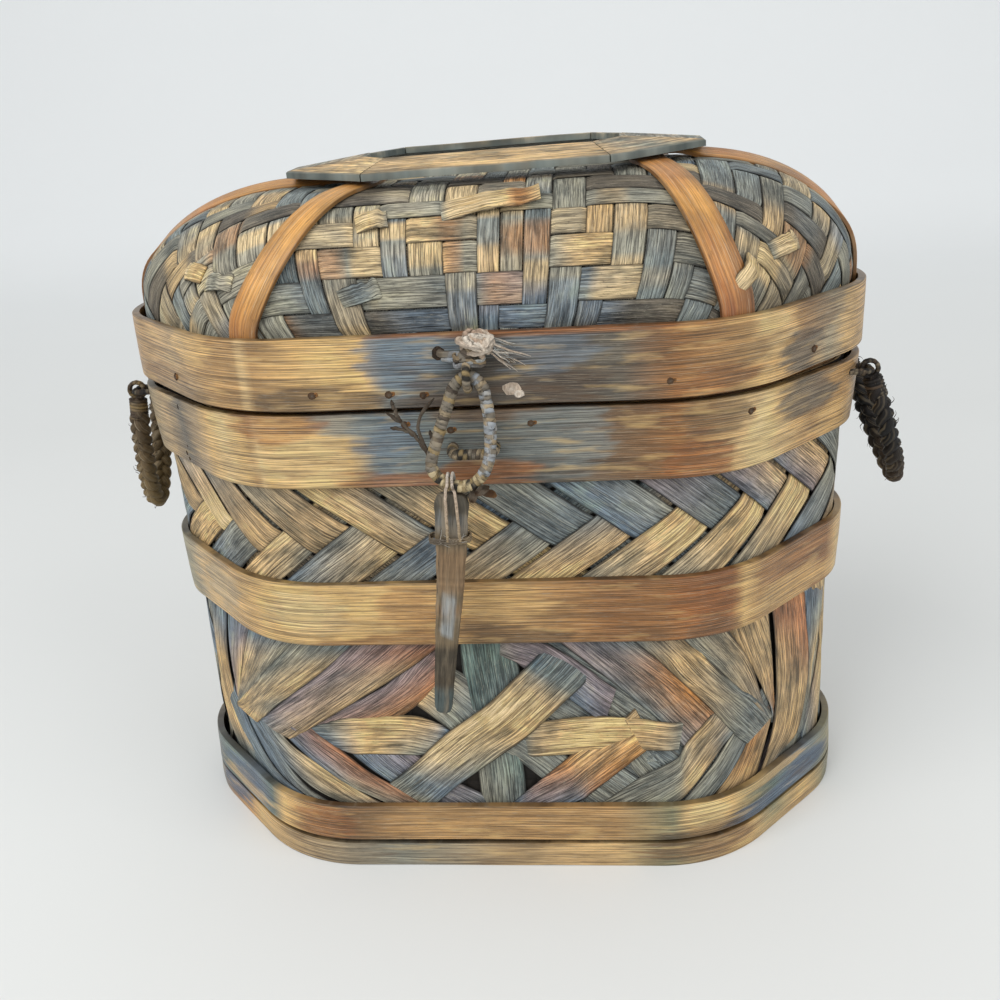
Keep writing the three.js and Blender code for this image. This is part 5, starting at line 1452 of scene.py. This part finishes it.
def fibreFinish(name):
    finish = Finish(name)
    place, tint = finish.attribute("grain"), finish.attribute("tint", 0)
    along, across, up = finish.split(place)
    fine = finish.grain((along * 1.1, across * 1.1, up * 0.5), detail=5.0, roughness=0.7)
    folds = finish.grain(place, 0.35, 4.0, 0.6)
    colour = finish.toward(finish.mix(0.45, tint, "#5b4636"), tint, fine, 0.4, 0.62)
    # darker where the folds' bump is low: painted shade in their hollows
    colour = finish.toward(colour, "#2c2018", folds, 0.42, 0.3, 0.7)
    return finish.surface(colour, 0.85, 0.2, fine + folds, 0.0012, 0.9)


fibreMaterial = fibreFinish("knot_fibre")
knotSkin = Skin("latch_knot_fibre")
tangle = random.Random(12)
addLump(knotSkin, knot, (4.4, 3.0, 3.6), "lkm", 3.1, 0.4)
for k in range(9):
    # ribbons of fibre wound round the core every way
    middle = knot + np.array([tangle.uniform(-1.6, 2.0), -0.4, tangle.uniform(-1.4, 1.2)])
    first = Vector([tangle.uniform(-1, 1) for _ in range(3)]).normalized()
    second = first.cross(Vector([tangle.uniform(-1, 1) for _ in range(3)])).normalized()
    size = tangle.uniform(3.0, 4.3)
    ring = circle(middle, *(size * np.array(v) * (1.1, 0.78, 0.9) for v in (first, second)), 8)
    addCord(knotSkin, ring, tangle.uniform(0.8, 1.5), 70, tangle.choice(("kmk", "lkm", "mkm")),
            True, flat=0.55, seed=k * 3.3, waver=0.35)
for k, letters in enumerate(("KqK", "nqn", "iai", "dKd")):
    # strands bound round the neck under the knot
    middle = np.array([pivot[0] + 0.8, -(front + 5.2), 196.9 + 0.85 * k])
    ring = circle(middle, (4.5, 0, 4.7 * 0.25 * math.sin(k * 2.4)), (0, 2.7, 0), 10)
    for a, point in zip(np.linspace(0, 2 * math.pi, 11), ring):
        point[2] += 0.3 * math.sin(3 * a)
    addCord(knotSkin, ring, 0.62, 90, letters, True, columns=8, seed=k + 40, waver=0.25)
tails = random.Random(31)
for k in range(26):
    start = knot + np.array([tails.uniform(2, 5), tails.uniform(-1.2, 1.4), tails.uniform(-2, 2)])
    reach = tails.uniform(4, 13)
    drop = tails.uniform(0.2, 0.9)
    way = np.array([math.cos(drop), 0, -math.sin(drop)])
    bend = np.array([0, tails.uniform(-0.15, 0.05), tails.uniform(-0.3, 0.25)])
    route = [start, start + way * reach * 0.35 + bend * reach * 0.5,
             start + way * reach * 0.7 + bend * reach * 0.2, start + way * reach]
    for p in route:
        p[1] = min(p[1], -(front + 1.6))
    addCord(knotSkin, route, tails.uniform(0.14, 0.38), 12, tails.choice(("nmn", "mkm", "qnq")),
            columns=5, seed=k, waver=0.25, taper=((0, 1), (0.7, 0.8), (1, 0.25)))
knotSkin.make(fibreMaterial, "lid", ["latch_knot"], "knot_fibre", sharp=80)

staple = Skin("latch_staple_cord")
wall = float(hoopInset(latch["stapleZ"])) - front
legs = [np.array([x, wall + 1.8, latch["stapleZ"]]) for x in latch["stapleLegs"]]
bars = [np.array([leg[0], -(front + latch["stapleOut"]), leg[2]]) for leg in legs]
addCord(staple, stapleRoute(legs, bars), latch["stapleCord"], 260, wrapShades, False, 22, 0.28,
        10, seed=9.0)
staple.make(cordMaterial, "basket", ["latch_staple"], "latch_cord", sharp=70)

# peg on its twin strand
peg = {"length": 80.5, "top": 11.0, "tip": 5.8, "thickness": 4.8, "tipThickness": 3.0,
       "lean": math.radians(6), "hang": 3.0, "tieDrop": 15.0, "tie": 0.75}
pegPivot = loopPoint(-0.55, 1)


def pegFinish(name):
    finish = Finish(name)
    along, across, number, tint, _ = finish.reads()
    fine = finish.grain((along * 0.07, across * 1.5, number), detail=4.0, roughness=0.65)
    broad = finish.grain((along * 0.05, across * 0.3, 2.0))
    colour = finish.mix(0.6, tint, finish.toward("#5e5e5e", "#ffffff", fine, 0.35, 0.65),
                        "MULTIPLY")
    colour = finish.toward(colour, "#a5947a", broad, 0.5, 0.7, 0.4)
    colour = finish.toward(colour, "#1f1913", fine, 0.42, 0.3, 0.65)
    return finish.surface(colour, 0.6, 0.35, fine + broad, 0.0006, 0.8)


pegSkin = Skin("latch_peg_pin")
rowCount, columnCount = 90, 22
rows = []
for i in range(rowCount):
    share = i / (rowCount - 1)
    swell = np.interp(share, (0, 0.01, 0.04, 0.97, 0.99, 1), (0.6, 0.85, 1, 1, 0.85, 0.5))
    width = lerp(peg["top"], peg["tip"], share) * swell
    thick = lerp(peg["thickness"], peg["tipThickness"], share) * swell
    row = []
    for j in range(columnCount):
        turn = 2 * math.pi * j / columnCount
        chip = 1 + 0.07 * rough(share * 14, j * 0.7) + 0.05 * rough(share * 40, j * 1.9, 3)
        x = width / 2 * bulged(math.cos(turn), 0.5) * chip
        y = thick / 2 * bulged(math.sin(turn), 0.5) * chip
        row.append((x + 0.5 * math.sin(share * 5), y, -share * peg["length"]))
    rows.append(row)
points = np.array(rows)
across = points[:, :, 0] + points[:, :, 1]
grain = grainOf(points, points[:, :, 2], across, 0.0)
turn = np.array(Matrix.Rotation(peg["lean"], 3, "Y"))
points = points @ turn.T + pegPivot - (0, 0, peg["hang"])
# a pale drip half way down, and a smear near the top
down, sideways = np.arange(rowCount)[:, None] / rowCount, across / peg["top"]
noises = np.array([[rough(i * 0.16, j * 0.5) for j in range(columnCount)]
                   for i in range(rowCount)])
drip = smooth(1.5 - ((down - 0.5) / 0.12) ** 2 - ((sideways + 0.14) / 0.2) ** 2 + noises * 1.5)
smear = smooth(0.9 - ((down - 0.12) / 0.06) ** 2 + noises) * 0.4
pale = np.maximum(drip, smear)[:, :, None] * 0.7
tint = lerp(tintRows("HHHIIJJJJIJIIIQQQQRRR", rowCount)[:, None, :], shades["P"], pale)
pegSkin.grid(points, grain, tint, 0.0)
pegSkin.make(pegFinish("weathered_peg"), "latch_peg", ["latch_peg"], "peg_bamboo")

tieSkin = Skin("latch_peg_strands")
around = peg["thickness"] / 2 + 0.3 + peg["tie"]
over = latch["cord"] + 0.9 + peg["tie"]
turnZ = -(peg["hang"] + peg["tieDrop"])
for lane in (-1, 1):
    aside = np.array([lane * 0.75, 0, 0])
    addCord(tieSkin, [pegPivot + aside + p for p in (
        (lane * 1.2, -around, turnZ), (lane * 0.8, -around, -peg["hang"]),
        (0, -around * 0.95, over * 0.3), (0, 0, over), (0, around * 0.95, over * 0.3),
        (0, around, -peg["hang"]), (0, around, turnZ))],
        0.48, 120, "ikni", columns=8, seed=lane, waver=0.15)
turnX = -peg["tieDrop"] * math.sin(peg["lean"])
reach = peg["top"] / 2 + 0.3 + peg["tie"]
for lane in (-1, 0, 1):
    ring = [pegPivot + (turnX + reach * bulged(math.cos(a), 0.7),
                        around * bulged(math.sin(a), 0.7), turnZ + lane * 0.7)
            for a in np.arange(16) * math.pi / 8]
    addCord(tieSkin, ring, 0.36, 130, "iaci", True, columns=8, seed=lane + 20, waver=0.12)
for k in range(9):
    start = pegPivot + (turnX + tails.uniform(-4, 4), -around, turnZ)
    way = np.array([tails.uniform(-1, 1), 0, tails.uniform(-0.5, 0.9)])
    way /= np.linalg.norm(way)
    addCord(tieSkin, [start, start + way * 1.6, start + way * tails.uniform(3, 4.5)], 0.14, 8,
            "mn", columns=4, seed=k, waver=0.3, taper=((0, 1), (1, 0.3)))
tieSkin.make(fibreMaterial, "latch_peg", ["latch_peg_tie"], "latch_cord", sharp=80)
print("latch done")

# handles: three dark strands plaited together, whipped at the eyes
handle = {
    "eyeSpread": {1: 19.0, -1: 10.0}, "eyeZ": 174.5, "standout": 5.4, "length": 49.0, "ring": 2.9,
    "strand": 1.95, "swing": 2.2, "plaits": 7.5, "eyeHalf": 3.6, "hairs": 70,
}


def handleWallX(y):
    radius = box["endRadius"] - float(hoopInset(handle["eyeZ"]))
    return box["endReach"] - box["endRadius"] + math.sqrt(radius ** 2 - y ** 2)


handleAxisX = {side: handleWallX(spread) + handle["standout"]
               for side, spread in handle["eyeSpread"].items()}


def makeHandle(name, sideX, leanDegrees, letters):
    skin = Skin(name + "_braid")
    lean = math.radians(leanDegrees)
    down = np.array([sideX * math.sin(lean), 0, -math.cos(lean)])
    top = np.array([sideX * handleAxisX[sideX], 0, handle["eyeZ"]])
    spread, length, ring = handle["eyeSpread"][sideX], handle["length"], handle["ring"]

    def hang(y, drop):
        x, _, z = top + down * drop
        return np.array([x, y, z])

    leg = ((1, ring / length), (1.02, 0.3), (0.86, 0.55), (0.58, 0.82))
    path, _ = curvePath([hang(side * spread * aside, length * drop) for side, aside, drop in (
        *((1, *k) for k in leg), (0, 0, 1), *((-1, *k) for k in leg[::-1]))], 420)
    sides, ups = frames(path)
    t = np.linspace(0, 1, len(path))
    swing = handle["swing"] * np.minimum(1, 0.35 + 7 * np.minimum(t, 1 - t))
    for k in range(3):
        phase = 2 * math.pi * (handle["plaits"] * t + k / 3)
        strand = path + sides * (swing * np.sin(phase))[:, None] \
            + ups * (swing * 0.55 * np.sin(2 * phase))[:, None]
        addCord(skin, strand, handle["strand"], 0, letters, columns=10, seed=k * 4 + sideX,
                waver=0.25, taper=((0, 0.55), (0.06, 1), (0.94, 1), (1, 0.55)), smoothed=False)
    hair = random.Random(17 + sideX)
    for k in range(handle["hairs"]):
        # loose hairs all along the braid
        at = hair.randrange(8, len(path) - 8)
        way = sides[at] * hair.uniform(-1, 1) + ups[at] * hair.uniform(-1, 1)
        way = way / max(np.linalg.norm(way), 0.1)
        start = path[at] + way * 3.4
        along = path[min(at + 6, len(path) - 1)] - path[at]
        addCord(skin, [start, start + way * 1.2 + along * 0.6,
                       start + way * hair.uniform(0.8, 2.0) + along * hair.uniform(0.5, 2)],
                0.16, 7, "vw", columns=4, seed=k, taper=((0, 1), (1, 0.2)))
    for side in (1, -1):
        for lane in (-0.55, 0.55):
            eye = circle((top[0], side * spread + lane, top[2]), (ring, 0, 0), (0, 0, ring), 12)
            addCord(skin, eye, 0.75, 80, letters, True, 12, 0.12, 8, seed=side + lane)
        whip, _ = curvePath([hang(side * spread, 3.5), hang(side * spread, 11)], 60)
        addCord(skin, whip, 3.3, 0, letters, turns=6, ridge=0.5, columns=12, seed=side * 3,
                smoothed=False)
    skin.make(handleMaterial, name, [name], "handle_fibre", sharp=75)


makeHandle("right_handle", 1, 20, "vxwxv")
makeHandle("left_handle", -1, 6, "wzjzw")
for sideX, sideName in ((-1, "left"), (1, "right")):
    for sideY, place in ((-1, "front"), (1, "back")):
        skin = Skin(f"{sideName}_handle_staple_{place}_cane")
        ends = []
        for edge in (-1, 1):
            y = sideY * handle["eyeSpread"][sideX] + edge * handle["eyeHalf"]
            ends.append(np.array([sideX * (handleWallX(y) - 1.8), y, handle["eyeZ"]]))
        bars = [np.array([sideX * handleAxisX[sideX], *end[1:]]) for end in ends]
        addCord(skin, stapleRoute(ends, bars), 1.05, 90, "vwx", False, 14, 0.15,
                seed=sideX + sideY)
        skin.make(handleMaterial, "basket", [f"{sideName}_handle_staple_{place}"],
                  "handle_fibre", sharp=70)

hinge = {"centre": np.array([46.0, 73.1, 181.3]), "radius": 11.5, "twist": 0.5, "cane": 0.62}
for sideX, sideName in ((-1, "left"), (1, "right")):
    # two strands of cane, twisted round each other
    skin = Skin(f"hinge_ring_{sideName}_cane")
    for k in range(2):
        ring = []
        for a in np.arange(64) * math.pi / 32:
            twist = 7 * a + k * math.pi
            r = hinge["radius"] + hinge["twist"] * math.cos(twist)
            ring.append(hinge["centre"] * (sideX, 1, 1) + (
                hinge["twist"] * math.sin(twist), r * math.cos(a), r * math.sin(a)))
        addCord(skin, ring, hinge["cane"], 260, "tNB", True, seed=k + sideX)
    skin.make(cordMaterial, "basket", [f"hinge_ring_{sideName}"], "cane", sharp=70)
print("handles and hinges done")

# pins through the hoops, the hole of the latch cord, splits, and scraps on the latch
pins = {
    "lid": ((-113.7, 188.5), (-51.7, 187.3), (-27.2, 186.7), (-16.4, 186.2), (118.7, 188.5),
            (60.0, 187.8), (190.0, 188.0), (262.0, 188.0), (330.0, 188.0)),
    "basket": ((-23.2, 176.4), (-8.7, 174.2), (16.8, 175.6), (88.0, 174.5), (190.0, 175.0),
               (262.0, 175.0), (330.0, 175.0)),
}
splits = ((-118.8, 176.6), (-118.7, 172.5), (-119.8, 167.7), (-120.5, 163.8), (-121.7, 158.6))


def addStud(skin, s, z, radius, height, letters, seed, squeeze=1.0):
    # a low uneven head that stands on the wall's face
    turn = np.linspace(0, 2 * math.pi, 15)[:-1]
    uneven = np.array([1 + 0.25 * rough(math.cos(a) * 1.5 + seed, math.sin(a) * 1.5)
                       for a in turn]) * radius
    across, up = uneven * np.cos(turn) * squeeze, uneven * np.sin(turn)
    points = np.stack([
        onWall(s + share * across, z + share * up, -lift)
        for share, lift in ((1.0, -0.25), (1.0, 0.1), (0.75, height), (0.3, height * 0.8),
                            (0.05, height * 0.7))])
    skin.grid(points, points, tintRows(letters, 5)[:, None, :], 0.0)


for body, places in pins.items():
    skin = Skin(body + "_hoop_pins")
    for k, (s, z) in enumerate(places):
        addStud(skin, s, z, 1.25, 0.35, "dDK", k * 1.9)
        addStud(skin, s + 1.2, z + 0.3, 0.8, 0.3, "DBd", k * 2.7)
    if body == "lid":
        # a near-black disc where the latch cord goes through the hoop: painted shade of the hole
        addStud(skin, -10.6, 199.3, 2.3, 0.08, "ddd", 4.0, 0.85)
    else:
        # dark marks along the splits: painted shade in them
        for k, (s, z) in enumerate(splits):
            addStud(skin, s, z, 0.95, 0.12, "ddD", k * 3.3, 0.6)
            addStud(skin, s + 1.3, z - 2.0, 0.6, 0.12, "dDd", k * 4.1, 0.7)
    skin.make(fibreMaterial, body)

scraps = Skin("latch_scraps")
for k, route in enumerate((
        ((-14.7, -82.5, 169.7), (-18.2, -81.5, 175.4), (-23, -80.5, 180.2), (-27.5, -79.5, 183.2)),
        ((-23, -80.5, 180.2), (-24.6, -80, 184.6), (-25.2, -79.5, 187)),
        ((-14.7, -82.5, 169.7), (-17.4, -81.5, 178.2), (-15.4, -81, 183.6), (-11.8, -80.5, 187.4)),
        ((-18.2, -81.5, 175.4), (-21.6, -80.5, 177.4), (-26.4, -80, 178.2)),
        ((-14.7, -82.5, 169.7), (-13.4, -82, 173.4), (-13.8, -81.5, 177.6)))):
    addCord(scraps, route, 0.62, 40, "dKd", columns=7, seed=k * 5, waver=0.4,
            taper=((0, 1.1), (0.6, 0.8), (0.85, 1.1), (1, 0.3)))
for k, (centre, turn, letters) in enumerate((
        ((1.4, -85.0, 158.8), 0.5, "DKD"), ((3.4, -84.4, 157.6), -0.4, "KDN"),
        ((-1.4, -84.6, 157.0), 1.3, "DKD"))):
    # a curled scrap of leaf: a small cupped sheet
    rows = []
    for i in range(9):
        along = (i - 4) / 4
        width = 1.4 * math.sqrt(max(1 - along ** 2, 0.02))
        row = [(along * 2.7, -0.9 * across ** 2 + 0.35 * math.sin(along * 4), across * width)
               for across in np.linspace(-1, 1, 7)]
        row += [(x, y + 0.25, z) for x, y, z in row[::-1]]
        rows.append(row)
    points = np.array(rows)
    points = points @ np.array(Matrix.Rotation(turn, 3, "Y")) + centre
    scraps.grid(points, points, tintRows(letters, 9)[:, None, :], 0.0)
scraps.make(fibreMaterial, "latch_loop", sharp=70)

chip = Skin("lid_pale_chip")
addStud(chip, 11.5, 187.2, 2.4, 0.5, "mkm", 7.0, 1.25)
addStud(chip, 13.6, 185.6, 1.4, 0.8, "kmk", 9.0, 1.3)
chip.make(fibreMaterial, "lid")
print("pins and scraps done")

# slats under the floor
slat = {"aside": 21.0, "z": 7.5, "width": 15.6, "thickness": 2.0}
for sideY, place in ((-1, "front"), (1, "back")):
    skin = Skin(f"base_slat_{place}_lath")
    low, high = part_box(f"base_slat_{place}")
    reach = (high.x - low.x) / 2 / mm
    centres = np.array([(x, sideY * slat["aside"], slat["z"])
                        for x in np.linspace(-reach, reach, 60)])
    addSplint(skin, centres, np.tile((0.0, 0.0, -1.0), (60, 1)), slat["width"],
              slat["thickness"], "tBtNt", 3.0 + sideY)
    skin.make(hoopMaterial, "basket", [f"base_slat_{place}"], "cane")
print("base slats done")

low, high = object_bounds()
